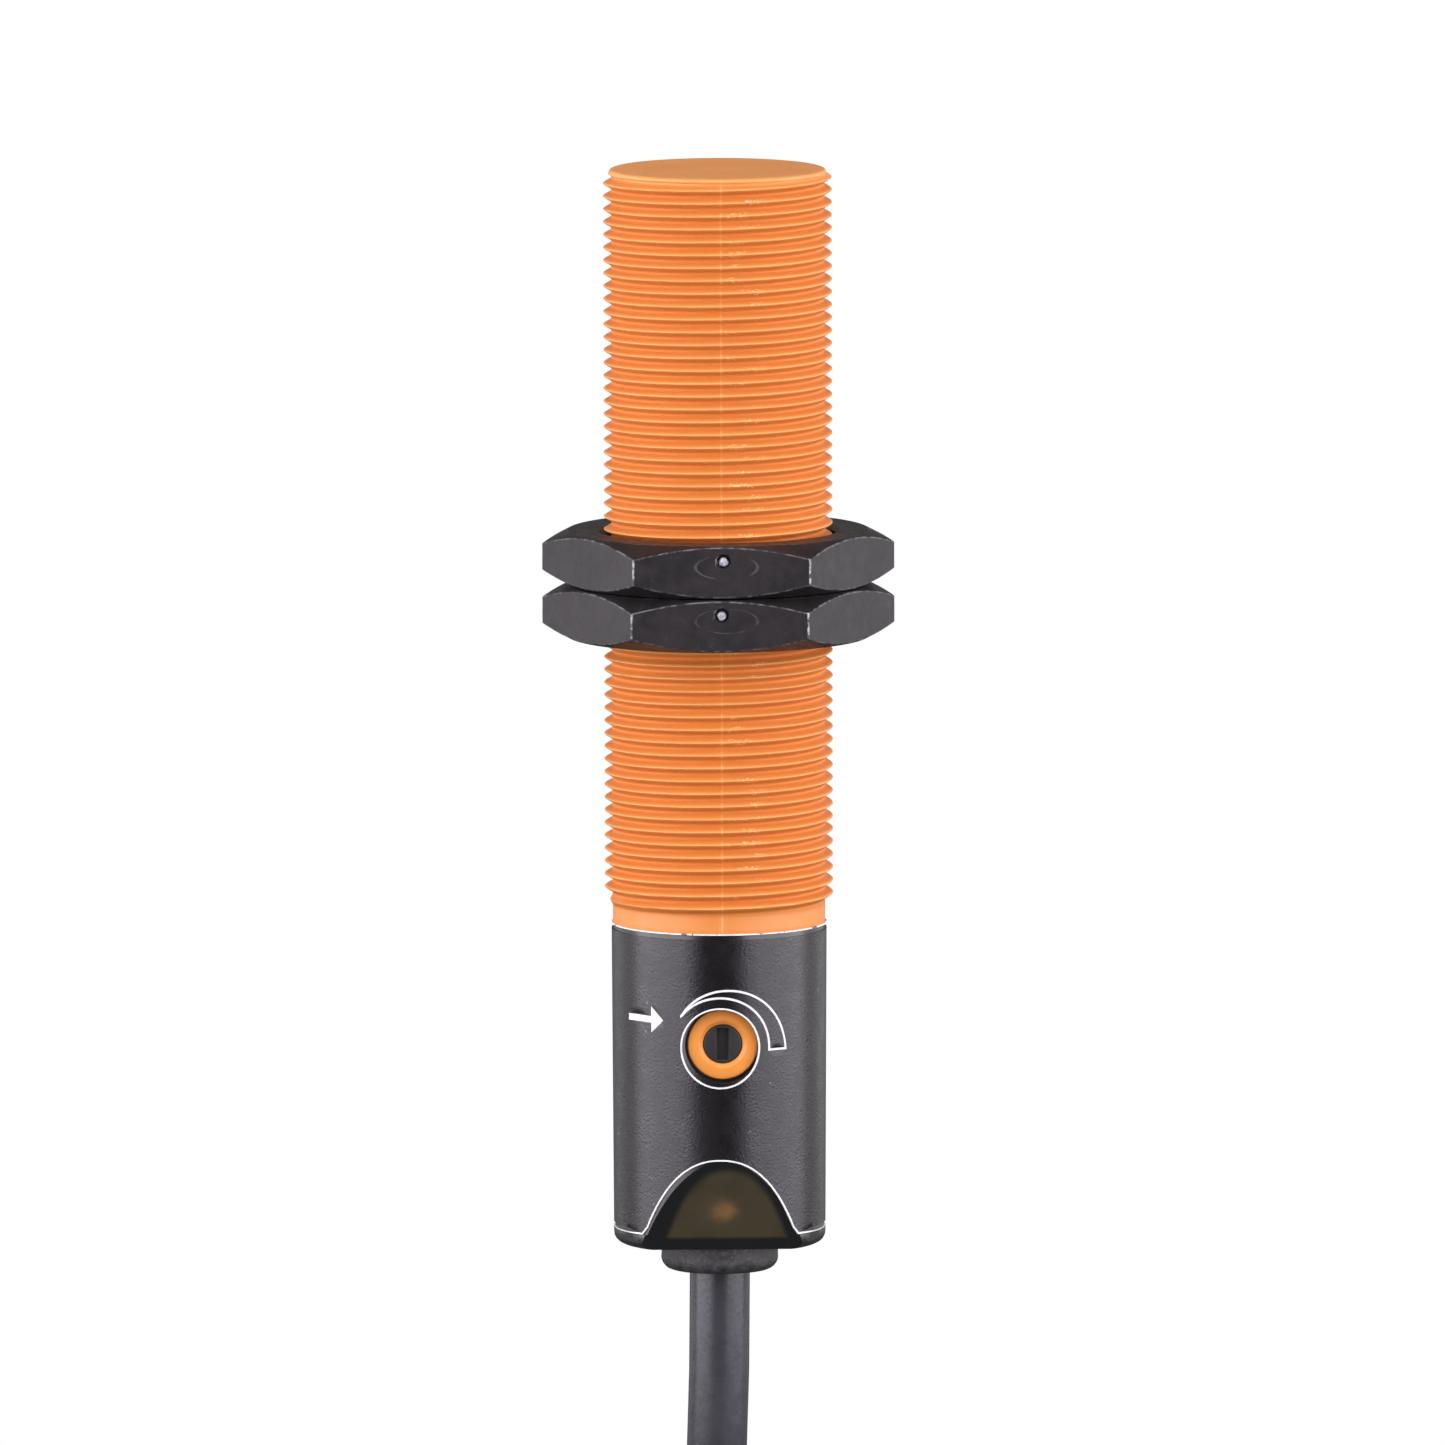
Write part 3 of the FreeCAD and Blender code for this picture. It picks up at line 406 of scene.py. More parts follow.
def board_material():
    """Green solder mask over copper tracks, with small gold pads."""
    black, white = (0.0, 0.0, 0.0), (1.0, 1.0, 1.0)
    look = Look("board_solder_mask", IOR=1.5)
    turned = look.node("Mapping", Vector=look.coords, Rotation=(math.radians(90), 0, 0))
    tracks = look.node("TexBrick", Vector=turned.outputs[0], Scale=420.0, Mortar_Size=0.035, Color1=black,
                       Color2=black, Mortar=white).outputs["Color"]
    pads = look.node("TexVoronoi", Vector=look.coords, Scale=480.0)
    pad = look.mapped(pads.outputs["Distance"], 0.13, 0.11)
    mask = look.blended(tracks, (0.012, 0.105, 0.045), (0.03, 0.21, 0.085))
    look.feed(Base_Color=look.blended(pad, mask, (0.72, 0.52, 0.2)), Metallic=pad,
              Roughness=look.uneven(900.0, 0.28, 0.4))
    return look.bumps((tracks, 0.03 * MM), (pad, 0.02 * MM))


def tipped_material(name, body_colour):
    """Chip part: a coloured body with tinned patches."""
    look = Look(name, IOR=1.5)
    spots = look.noise(1800.0, 4.0)
    tinned = look.spots(420.0, 0.0, 0.5, 0.56, 0.6)
    dark = tuple(c * 0.8 for c in body_colour)
    body = look.blended(look.mapped(spots, 0.3, 0.7), dark, body_colour)
    look.feed(Base_Color=look.blended(tinned, body, (0.62, 0.62, 0.6)), Metallic=tinned,
              Roughness=look.mapped(spots, 0.3, 0.7, 0.32, 0.5))
    return look.bumps((spots, 0.01 * MM))


ORANGE = orange_material()
FILM_BLACK = film_material()
PRINT_WHITE = white_print_material()
SMOKED = smoked_material()
RUBBER = grommet_material()
JACKET = jacket_material()
BUSH_ORANGE = moulded_plastic("bush_orange", (0.76, 0.275, 0.052), 0.36, 3600.0, 0.005 * MM, 0.05, IOR=1.5)
SCREW_BLACK = moulded_plastic("screw_black", (0.02, 0.019, 0.02), 0.42, 2600.0, 0.012 * MM, IOR=1.5)
STRAP_BLACK = moulded_plastic("strap_black", (0.02, 0.02, 0.021), 0.5, 1800.0, 0.02 * MM, IOR=1.5)
TINNED = drawn_metal("tinned_metal", (0.68, 0.68, 0.66), 0.3, (1, 1, 0.2))
# The gate stub's pale grey is a painted highlight.
GATE_PAINTED_HIGHLIGHT = moulded_plastic("gate_stub_painted_highlight", (0.42, 0.42, 0.47), 0.4, 1500.0, 0.05 * MM, 0.45, 2500.0, IOR=1.5)


# ---- mesh helpers
def in_mm(*rows):
    """Rows of numbers given in millimetres, in metres."""
    return [tuple(value * MM for value in row) for row in rows]


def polar(radius, angle, z=0.0):
    """The point at a radius and an angle round Z."""
    return Vector((radius * math.cos(angle), radius * math.sin(angle), z))


def ring_angles(count):
    return [FULL_TURN * number / count for number in range(count)]


def placed(name, data):
    """A new object in the scene."""
    thing = bpy.data.objects.new(name, data)
    bpy.context.scene.collection.objects.link(thing)
    return thing


def finished(name, mesh, body, nodes=(), materials=(), sharp_deg=38.0):
    """Turn a mesh into a piece that rides on a body and stands for CAD nodes."""
    for material in materials:
        mesh.materials.append(material)
    mesh.shade_smooth()
    mesh.set_sharp_from_angle(angle=math.radians(sharp_deg))
    piece = placed(name, mesh)
    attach(piece, body)
    if nodes:
        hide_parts(*nodes)
    return piece


def mesh_from(name, points, faces):
    mesh = bpy.data.meshes.new(name)
    mesh.from_pydata(points, [], faces)
    return mesh


def grid_faces(columns, rows, first=0):
    """Faces of a closed ring of columns, each a closed outline of as many rows."""
    faces = []
    for number in range(columns):
        here = first + number * rows
        there = first + (number + 1) % columns * rows
        for row in range(rows):
            above = (row + 1) % rows
            faces.append((here + row, there + row, there + above, here + above))
    return faces


def cleaned(mesh, gap=1e-7):
    """Join points closer than the gap, drop faces without area and turn all faces outwards."""
    work = bmesh.new()
    work.from_mesh(mesh)
    if gap:
        bmesh.ops.remove_doubles(work, verts=work.verts, dist=gap)
        bmesh.ops.dissolve_degenerate(work, edges=work.edges, dist=gap)
    bmesh.ops.recalc_face_normals(work, faces=work.faces)
    work.to_mesh(mesh)
    work.free()
    mesh.update()
    return mesh


def filleted(corners, steps=4):
    """A closed outline of (radius, height, fillet) corners, with its corners rounded by arcs."""
    outline = []
    count = len(corners)
    for number in range(count):
        x, y, fillet = corners[number]
        here = Vector((x, y))
        if not fillet:
            outline.append(here)
            continue
        before = (Vector(corners[number - 1][:2]) - here).normalized()
        after = (Vector(corners[(number + 1) % count][:2]) - here).normalized()
        half = before.angle(after) / 2
        trim = fillet / math.tan(half)
        centre = here + (before + after).normalized() * (fillet / math.sin(half))
        start = here + before * trim - centre
        end = here + after * trim - centre
        swing = start.angle_signed(end)
        for step in range(steps + 1):
            outline.append(centre + Matrix.Rotation(-swing * step / steps, 2) @ start)
    return outline


def lathe(name, corners, segments=96, steps=4, to_frame=None, wobble=None):
    """Sweep a closed outline round Z; to_frame turns the result, wobble moves each point."""
    outline = filleted(corners, steps)
    points = []
    for angle in ring_angles(segments):
        for radius, height in outline:
            point = polar(radius, angle, height)
            if wobble:
                point = wobble(point)
            points.append(to_frame @ point if to_frame else point)
    return cleaned(mesh_from(name, points, grid_faces(segments, len(outline))))


def cut(base, tools, operation="DIFFERENCE"):
    """Exact boolean of a mesh with a list of meshes, as a new mesh."""
    for tool in tools:
        solid = placed("solid", base)
        cutter = placed("cutter", tool)
        modifier = solid.modifiers.new("cut", "BOOLEAN")
        modifier.object = cutter
        modifier.operation = operation
        modifier.solver = "EXACT"
        graph = bpy.context.evaluated_depsgraph_get()
        base = bpy.data.meshes.new_from_object(solid.evaluated_get(graph))
        bpy.data.objects.remove(solid)
        bpy.data.objects.remove(cutter)
    return base


def prism(name, outline, axis_from, axis_to):
    """Solid between two parallel copies of an outline of 3-D points."""
    count = len(outline)
    points = [Vector(p) + Vector(axis_from) for p in outline] + [Vector(p) + Vector(axis_to) for p in outline]
    faces = [tuple(range(count)), tuple(range(count, 2 * count))]
    for number in range(count):
        after = (number + 1) % count
        faces.append((number, after, count + after, count + number))
    return cleaned(mesh_from(name, points, faces))


def rod_y(name, radius, front_y, back_y, z, segments=64):
    """Round rod along Y through (0, z)."""
    outline = [(radius * math.cos(angle), 0, z + radius * math.sin(angle)) for angle in ring_angles(segments)]
    return prism(name, outline, (0, front_y, 0), (0, back_y, 0))


def soften(piece, width, angle_deg):
    """Small bevels on a piece's edges that are sharper than an angle."""
    bevel = piece.modifiers.new("soft_edges", "BEVEL")
    bevel.width = width
    bevel.segments = 2
    bevel.limit_method = "ANGLE"
    bevel.angle_limit = math.radians(angle_deg)


def ease(value):
    """Smooth step from 0 to 1."""
    value = min(1.0, max(0.0, value))
    return value * value * (3 - 2 * value)


# ---- camera, light and floor
VIEW_AZIMUTH = math.radians(-2.1)
VIEW_ELEVATION = math.radians(7.0)
VIEW_DISTANCE = 2.0
VIEW_ROLL = math.radians(-0.13)


def direction(azimuth, elevation):
    """Unit vector from the object; azimuth 0 is the front, positive to the right."""
    flat = math.cos(elevation)
    return Vector((math.sin(azimuth) * flat, -math.cos(azimuth) * flat, math.sin(elevation)))


def make_camera():
    data = bpy.data.cameras.new("camera")
    data.sensor_width = 36.0
    data.lens = 640.0
    data.clip_start = 0.01
    camera = placed("camera", data)
    back = direction(VIEW_AZIMUTH, VIEW_ELEVATION)
    target = Vector((0.3 * MM, 0.0, -11.0 * MM))
    camera.location = target + back * VIEW_DISTANCE
    facing = back.to_track_quat("Z", "Y").to_matrix()
    camera.rotation_euler = (facing @ Matrix.Rotation(VIEW_ROLL, 3, "Z")).to_euler()
    bpy.context.scene.camera = camera


def area_light(name, azimuth_deg, elevation_deg, distance, width, height, radiance, colour):
    """Soft rectangular light aimed at the object's middle."""
    data = bpy.data.lights.new(name, "AREA")
    data.shape = "RECTANGLE"
    data.size = width
    data.size_y = height
    data.energy = radiance * math.pi * width * height
    data.color = colour
    light = placed(name, data)
    towards = direction(math.radians(azimuth_deg), math.radians(elevation_deg))
    light.location = Vector((0, 0, -10 * MM)) + towards * distance
    light.rotation_euler = towards.to_track_quat("Z", "Y").to_euler()
    light.visible_camera = False


def show_to_camera(nodes, unseen, shown, output, share=1.0):
    """Swap one shader for another where the camera looks straight at it; share limits the swap."""
    seen = nodes.node("LightPath").outputs["Is Camera Ray"]
    mixer = nodes.node("MixShader", Fac=nodes.times(seen, share))
    nodes.give(mixer.inputs[1], unseen.outputs[0])
    nodes.give(mixer.inputs[2], shown.outputs[0])
    nodes.give(output.inputs["Surface"], mixer.outputs[0])


def make_lights():
    """Two big side boxes and a top box; the surroundings are white to the camera and dim to the rest."""
    area_light("left_box", azimuth_deg=-66, elevation_deg=8, distance=0.6, width=0.88, height=0.62,
               radiance=4.4, colour=(1.0, 0.95, 1.0))
    area_light("right_box", azimuth_deg=63, elevation_deg=8, distance=0.6, width=0.96, height=0.62,
               radiance=4.1, colour=(1.0, 0.96, 1.0))
    area_light("top_box", azimuth_deg=0, elevation_deg=58, distance=0.7, width=0.6, height=0.5,
               radiance=2.7, colour=(1.0, 1.0, 1.0))
    world = bpy.data.worlds.new("studio")
    bpy.context.scene.world = world
    world.use_nodes = True
    sky = Nodes(world.node_tree, "Generated")
    shown = sky.tree.nodes["Background"]
    sky.give(shown.inputs["Color"], (1.0, 1.0, 1.0))
    x, y, z = sky.xyz()
    sideways = sky.mapped(sky.maths("ABSOLUTE", x), 0.25, 0.75, 0.2, 1.1)
    level = sky.mapped(sky.maths("ABSOLUTE", z), 0.7, 0.3, 0.08, 1.0)
    ambient = sky.plus(sky.times(sideways, level, sky.mapped(y, -0.3, 0.4)), 0.03)
    unseen = sky.node("Background", Strength=ambient, Color=(1.0, 0.98, 1.0))
    show_to_camera(sky, unseen, shown, sky.tree.nodes["World Output"])
    bpy.context.scene.view_settings.view_transform = "Standard"


def make_floor():
    """Round floor, pale and fading into the white to the camera, and dim to all other rays."""
    radius = 0.75
    segments = 96
    floor_z = CAD_BOX[0].z - 2 * MM
    rim = [polar(radius, angle, floor_z) for angle in ring_angles(segments)]
    faces = [(0, 1 + number, 1 + (number + 1) % segments) for number in range(segments)]
    mesh = mesh_from("floor", [(0, 0, floor_z)] + rim, faces)
    look = Look("floor_paper", Roughness=0.9)
    seen = look.node("LightPath").outputs["Is Camera Ray"]
    pale = look.blended(look.noise(400.0, 4.0), (0.86, 0.86, 0.87), (0.9, 0.9, 0.91))
    look.feed(Base_Color=look.blended(seen, (0.1, 0.1, 0.1), pale))
    look.coords = look.vector("MULTIPLY", (1.0, 1.0, 0.0))
    away = look.vector("LENGTH", (0.0, 0.0, 0.0), "Value")
    glow = look.node("Emission", Strength=1.0)
    show_to_camera(look, look.shader, glow, look.tree.nodes["Material Output"], look.mapped(away, 0.15, 0.6))
    mesh.materials.append(look.material)
    placed("floor", mesh)


# ---- cable
JOIN_ANGLE = math.radians(COIL_JOIN_DEG)
OUTER_TURN = COIL_MIDDLE_RADIUS + COIL_LAYER_PITCH * (COIL_LAYERS - 1) / 2
INNER_TURN = COIL_MIDDLE_RADIUS - COIL_LAYER_PITCH * (COIL_LAYERS - 1) / 2
JOIN_RUN = OUTER_TURN * math.cos(JOIN_ANGLE) / math.sin(JOIN_ANGLE)
LEAD_CORNER_Z = EXIT_Z - LEAD_RUN
COIL_Z = LEAD_CORNER_Z - JOIN_RUN * math.cos(JOIN_ANGLE) - OUTER_TURN * math.sin(JOIN_ANGLE)
COIL_FIRST_X = -COIL_TURN_PITCH * (COIL_TURNS_PER_LAYER - 1) / 2
TAIL_X = -COIL_FIRST_X + COIL_TURN_PITCH + 0.15 * MM


def coil_places():
    """(x, radius) of every turn in winding order, layer by layer from the outside in."""
    places = []
    for layer in range(COIL_LAYERS):
        row = [COIL_FIRST_X + turn * COIL_TURN_PITCH for turn in range(COIL_TURNS_PER_LAYER)]
        if layer % 2:
            row.reverse()
        places += [(x, OUTER_TURN - layer * COIL_LAYER_PITCH) for x in row]
    places.append((TAIL_X, INNER_TURN))
    return places


def coil_points():
    """Control points of the wound turns: each crosses to the next place in a sector of its own layer."""
    per_turn = 16
    step = 360.0 / per_turn
    outwards = 1 / math.cos(math.pi / per_turn)
    places = coil_places()
    sector = (360.0 - (COIL_JOIN_DEG - TAIL_START_DEG)) / (2 * COIL_LAYERS - 1)
    points = []
    travel = -step / 2
    last = 360.0 * len(places) - 360.0 - sector * (2 * COIL_LAYERS - 1)
    while travel < last - step / 4:
        x, radius = places[0]
        for turn in range(1, len(places)):
            layer = (turn - 1) // COIL_TURNS_PER_LAYER
            inwards = 1 if turn % COIL_TURNS_PER_LAYER == 0 else 0
            end = 360.0 * turn - sector * (2 * layer + inwards)
            share = min(1.0, max(0.0, (travel - end + sector) / sector))
            x += (places[turn][0] - places[turn - 1][0]) * share
            radius += (places[turn][1] - places[turn - 1][1]) * share
        angle = JOIN_ANGLE - math.radians(travel)
        reach = radius * outwards
        points.append((x, reach * math.cos(angle), COIL_Z + reach * math.sin(angle)))
        travel += step
    return points


def tail_points():
    start = math.radians(TAIL_START_DEG)
    return [
        (TAIL_X, INNER_TURN * math.cos(start), COIL_Z + INNER_TURN * math.sin(start)),
        (TAIL_X, INNER_TURN + 0.4 * MM, COIL_Z - 0.5 * MM),
        (TAIL_X, INNER_TURN - 1.2 * MM, COIL_Z - 11.0 * MM),
    ]


def spline_curve(name, points, thickness):
    curve = bpy.data.curves.new(name, "CURVE")
    curve.dimensions = "3D"
    curve.resolution_u = 6
    curve.bevel_depth = thickness / 2
    curve.bevel_resolution = 6
    curve.use_fill_caps = True
    spline = curve.splines.new("NURBS")
    spline.points.add(len(points) - 1)
    for target, point in zip(spline.points, points):
        target.co = (*point, 1.0)
    spline.order_u = 3
    spline.use_endpoint_u = True
    return curve


def make_cable():
    """The whole cable as one line: lead, wound coil and free tail."""
    share = LEAD_RUN / JOIN_RUN
    lead = [
        (0.0, 0.0, EXIT_Z),
        (0.0, 0.0, LEAD_CORNER_Z),
        (
            COIL_FIRST_X * share,
            LEAD_RUN * math.sin(JOIN_ANGLE),
            LEAD_CORNER_Z - LEAD_RUN * math.cos(JOIN_ANGLE),
        ),
    ]
    curve = spline_curve("cable", lead + coil_points() + tail_points(), CABLE_DIAMETER)
    curve.materials.append(JACKET)
    cable = placed("cable", curve)
    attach(cable, "sensor")
    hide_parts("cable_lead", "cable_coil", "cable_tail")
    on_cable = [make_ties(), make_ferrules()]
    on_cable += [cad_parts[f"end_core_{colour}"] for colour in ("brown", "black", "blue")]


def make_ties():
    """Two hook-and-loop straps round the coil's section, each with an overlapping end."""
    slack = 0.15 * MM
    half_x = CABLE_DIAMETER / 2 - COIL_FIRST_X + slack
    inner = INNER_TURN - CABLE_DIAMETER / 2 - slack
    outer = OUTER_TURN + CABLE_DIAMETER / 2 + slack
    middle = (inner + outer) / 2
    half_r = (outer - inner) / 2
    corner = 2.3 * MM
    thickness = 0.75 * MM
    half_width = 2.3 * MM
    lap = 0.3 * MM
    path = filleted([(half_x, half_r, corner), (half_x, -half_r, corner), (-half_x, -half_r, corner),
                     (-half_x, half_r, corner)], 8)
    wide = []
    for number, point in enumerate(path):
        following = path[(number + 1) % len(path)]
        for part in range(4):
            wide.append(point.lerp(following, part / 4))
    count = len(wide)
    section = [(-1.0, 0.15), (-0.93, 0.0), (0.93, 0.0), (1.0, 0.15), (1.0, 0.8), (0.9, 1.0), (-0.9, 1.0),
               (-1.0, 0.8)]
    points = []
    faces = []
    for middle_deg in STRAP_PLACES_DEG:
        first = len(points)
        angle = math.radians(middle_deg)
        radial = Vector((0, math.cos(angle), math.sin(angle)))
        tangent = Vector((0, -math.sin(angle), math.cos(angle)))
        centre = Vector((0, 0, COIL_Z)) + radial * middle
        for number, spot in enumerate(wide):
            ahead = (wide[(number + 1) % count] - wide[number - 1]).normalized()
            outwards = Vector((ahead.y, -ahead.x))
            if outwards.dot(spot) < 0:
                outwards = -outwards
            lapped = lap * ease((spot.x - half_x + 0.6 * MM) / (0.6 * MM)) * ease(0.5 - spot.y / (2 * MM))
            for side, lift in section:
                plane = spot + outwards * (lift * thickness + lapped * lift)
                edge = side * half_width
                points.append(centre + Vector((plane.x, 0, 0)) + radial * plane.y + tangent * edge)
        faces += grid_faces(count, len(section), first)
    mesh = cleaned(mesh_from("tie_straps", points, faces))
    return finished("tie_straps", mesh, "sensor", ["cable_ties"], [STRAP_BLACK])


def make_ferrules():
    """Crimped wire-end tips: a tin tube with crimp grooves behind a short collar."""
    start, end = (Vector(point) for point in tail_points()[-2:])
    along = (end - start).normalized()
    across = Vector((0, along.z, -along.y))
    outwards = Vector((1, 0, 0))
    core_length = 22.0 * MM
    corners = in_mm((0, 0, 0), (0.59, 0, 0.05), (0.59, 1.3, 0.1), (0.5, 1.5, 0))
    for groove in range(5):
        height = 1.8 + 0.5 * groove
        corners += in_mm((0.5, height, 0), (0.43, height + 0.12, 0), (0.43, height + 0.28, 0),
                         (0.5, height + 0.4, 0))
    corners += in_mm((0.5, 4.95, 0.12), (0, 4.95, 0))
    pieces = None
    for place in (-1, 0, 1):
        side = across * place
        base = end + side * 1.15 * MM
        before = base + along * core_length * 0.65 + side * 1.5 * MM + outwards * 0.6 * MM
        tip = base + along * core_length + side * 1.9 * MM + outwards * 0.4 * MM
        turn = (tip - before).to_track_quat("Z", "Y").to_matrix().to_4x4()
        mesh = lathe("ferrule", corners, segments=40, steps=3, to_frame=Matrix.Translation(tip) @ turn)
        pieces = cut(pieces, [mesh], "UNION") if pieces else mesh
    pieces.name = "ferrule_tips"
    return finished("ferrule_tips", pieces, "sensor", ["core_ferrules"], [TINNED])


# ---- threaded barrel
PARTING_ANGLES = (1.5 * math.pi - math.radians(0.5), 0.5 * math.pi - math.radians(0.5))
THREAD_SHAPE = ((0.0, 1.0), (0.035, 0.975), (0.08, 0.88), (0.22, 0.5), (0.37, 0.1), (0.43, 0.02), (0.5, 0.0))
THREAD_TURNS = 56.45
RIM_AT_FACE = 8.45 * MM
RIM_ROUNDING = 0.28 * MM
FADE_TURNS = 0.4
WEAR_PER_METRE = 120
WEAR_DEPTH = 0.012 * MM
PARTING_HALF_WIDTH = 0.11 * MM
PARTING_HEIGHT = 0.06 * MM


def thread_height(away):
    """Height above the root, from 1 at a crest to 0 at a root; away is in pitches."""
    for (near, top), (far, bottom) in zip(THREAD_SHAPE, THREAD_SHAPE[1:]):
        if away <= far:
            return top + (bottom - top) * (away - near) / (far - near)
    return 0.0


def barrel_surface(angle, z):
    """Radius of the barrel's outside: helix, rounded face edge, fading last turn, parting lines."""
    turns = (FIRST_CREST_Z - z) / PITCH + angle / FULL_TURN
    crest = math.floor(turns + 0.5)
    travelled = crest - angle / FULL_TURN
    fade = ease((THREAD_TURNS - travelled) / FADE_TURNS + 0.5)
    spot = Vector((math.cos(angle), math.sin(angle), z * WEAR_PER_METRE))
    wear = WEAR_DEPTH * noise.noise(spot * 3)
    radius = ROOT_RADIUS + ((CREST_RADIUS - ROOT_RADIUS) * thread_height(abs(turns - crest)) + wear) * fade
    depth = FACE_Z - z
    rim = RIM_AT_FACE - RIM_ROUNDING
    if depth < RIM_ROUNDING:
        rim += math.sqrt(max(0.0, RIM_ROUNDING**2 - (RIM_ROUNDING - depth) ** 2))
        radius = max(radius, rim)
    else:
        rim += RIM_ROUNDING + 1.2 * max(0.0, depth - 0.3 * MM)
        radius = max(radius, RIM_AT_FACE - (depth - RIM_ROUNDING) * 1.5)
    radius = min(radius, rim, CREST_RADIUS)
    for parting in PARTING_ANGLES:
        off = (angle - parting) * ROOT_RADIUS / PARTING_HALF_WIDTH
        radius += PARTING_HEIGHT * math.exp(-off * off)
    return min(radius, CREST_RADIUS)


def barrel_columns():
    angles = [FULL_TURN * number / 96 for number in range(97)]
    for parting in PARTING_ANGLES:
        angles += [parting + math.radians(off) for off in (-1.5, -0.7, 0.0, 0.7, 1.5)]
    return sorted(angles)


def barrel_rows(angle):
    """Heights of one column's points from the face down; the thread's rows follow the helix."""
    top_zone = FACE_Z - 1.3 * MM
    run_out = FIRST_CREST_Z - (THREAD_TURNS - 1.6) * PITCH
    heights = [FACE_Z - 0.05 * MM * step for step in range(26)]
    shares = sorted({s for away, _ in THREAD_SHAPE for s in (away, (1 - away) % 1)})
    for crest in range(-1, 60):
        for share in shares:
            z = FIRST_CREST_Z - (crest + share - angle / FULL_TURN) * PITCH
            heights.append(min(top_zone, max(run_out, z)))
    below = run_out
    while below > SEAM_Z + 0.45 * MM:
        heights.append(below)
        below -= 0.06 * MM
    heights += [SEAM_Z + 0.4 * MM, SEAM_Z + 0.06 * MM, SEAM_Z + 0.02 * MM, SEAM_Z]
    return heights


def make_barrel():
    angles = barrel_columns()
    points = []
    face_shares = (0.0, 0.25, 0.5, 0.75, 0.93)
    chamfer = 0.05 * MM
    inner_top = FACE_Z - 1.0 * MM
    inside = [(BARREL_BORE + 0.2 * MM, SEAM_Z), (BARREL_BORE, SEAM_Z + 0.2 * MM),
              (BARREL_BORE, inner_top - 0.5 * MM), (BARREL_BORE - 0.5 * MM, inner_top), (0.0, inner_top)]
    for angle in angles:
        face_edge = barrel_surface(angle, FACE_Z)
        column = [polar(face_edge * share, angle, FACE_Z) for share in face_shares]
        for z in barrel_rows(angle):
            radius = barrel_surface(angle, z)
            if z < SEAM_Z + chamfer:
                radius -= chamfer - (z - SEAM_Z)
            column.append(polar(radius, angle, z))
        points += column + [polar(radius, angle, z) for radius, z in inside]
    rows = len(points) // len(angles)
    faces = []
    for number in range(len(angles) - 1):
        here = number * rows
        there = here + rows
        for row in range(rows - 1):
            faces.append((here + row, here + row + 1, there + row + 1, there + row))
    mesh = cleaned(mesh_from("threaded_barrel", points, faces), 2e-7)
    finished("threaded_barrel", mesh, "sensor", ["barrel_housing"], [ORANGE],
             sharp_deg=50.0)


# ---- rear housing, label and trimmer
def slanted_block():
    """Everything in front of the slanted flat."""
    reach = 12 * MM
    front = -20 * MM
    rise = reach * math.tan(SLANT)
    outline = [
        (0, front, FLAT_TOP_Z - reach),
        (0, front, FLAT_TOP_Z + reach),
        (0, -REAR_LOW_RADIUS - rise, FLAT_TOP_Z + reach),
        (0, -REAR_LOW_RADIUS + rise, FLAT_TOP_Z - reach),
    ]
    return prism("slanted_block", outline, (-reach, 0, 0), (reach, 0, 0))


def slab_wall():
    """The wall behind the slanted flat, which the flat is then cut from."""
    spare = 0.4 * MM
    depth = FLAT_WALL / math.cos(SLANT)
    below = 9 * MM
    above = 0.3 * below
    half_width = 8 * MM
    front = -REAR_LOW_RADIUS - spare
    back = -REAR_LOW_RADIUS + depth
    lean = math.tan(SLANT)
    outline = [
        (0, front - above * lean, FLAT_TOP_Z + above),
        (0, back - above * lean, FLAT_TOP_Z + above),
        (0, back + below * lean, FLAT_TOP_Z - below),
        (0, front + below * lean, FLAT_TOP_Z - below),
    ]
    return prism("slab_wall", outline, (-half_width, 0, 0), (half_width, 0, 0))


def roughened_rim(point):
    """Makes the unlabelled rim slightly uneven."""
    on_rim = ease((LABEL_LOW_Z - 0.1 * MM - point.z) / (0.2 * MM))
    if on_rim <= 0 or math.hypot(point.x, point.y) < NECK_RADIUS + 0.5 * MM:
        return point
    inwards = -Vector((point.x, point.y, 0)).normalized()
    return point + inwards * on_rim * 0.02 * MM * (1 + noise.noise(point * 900))


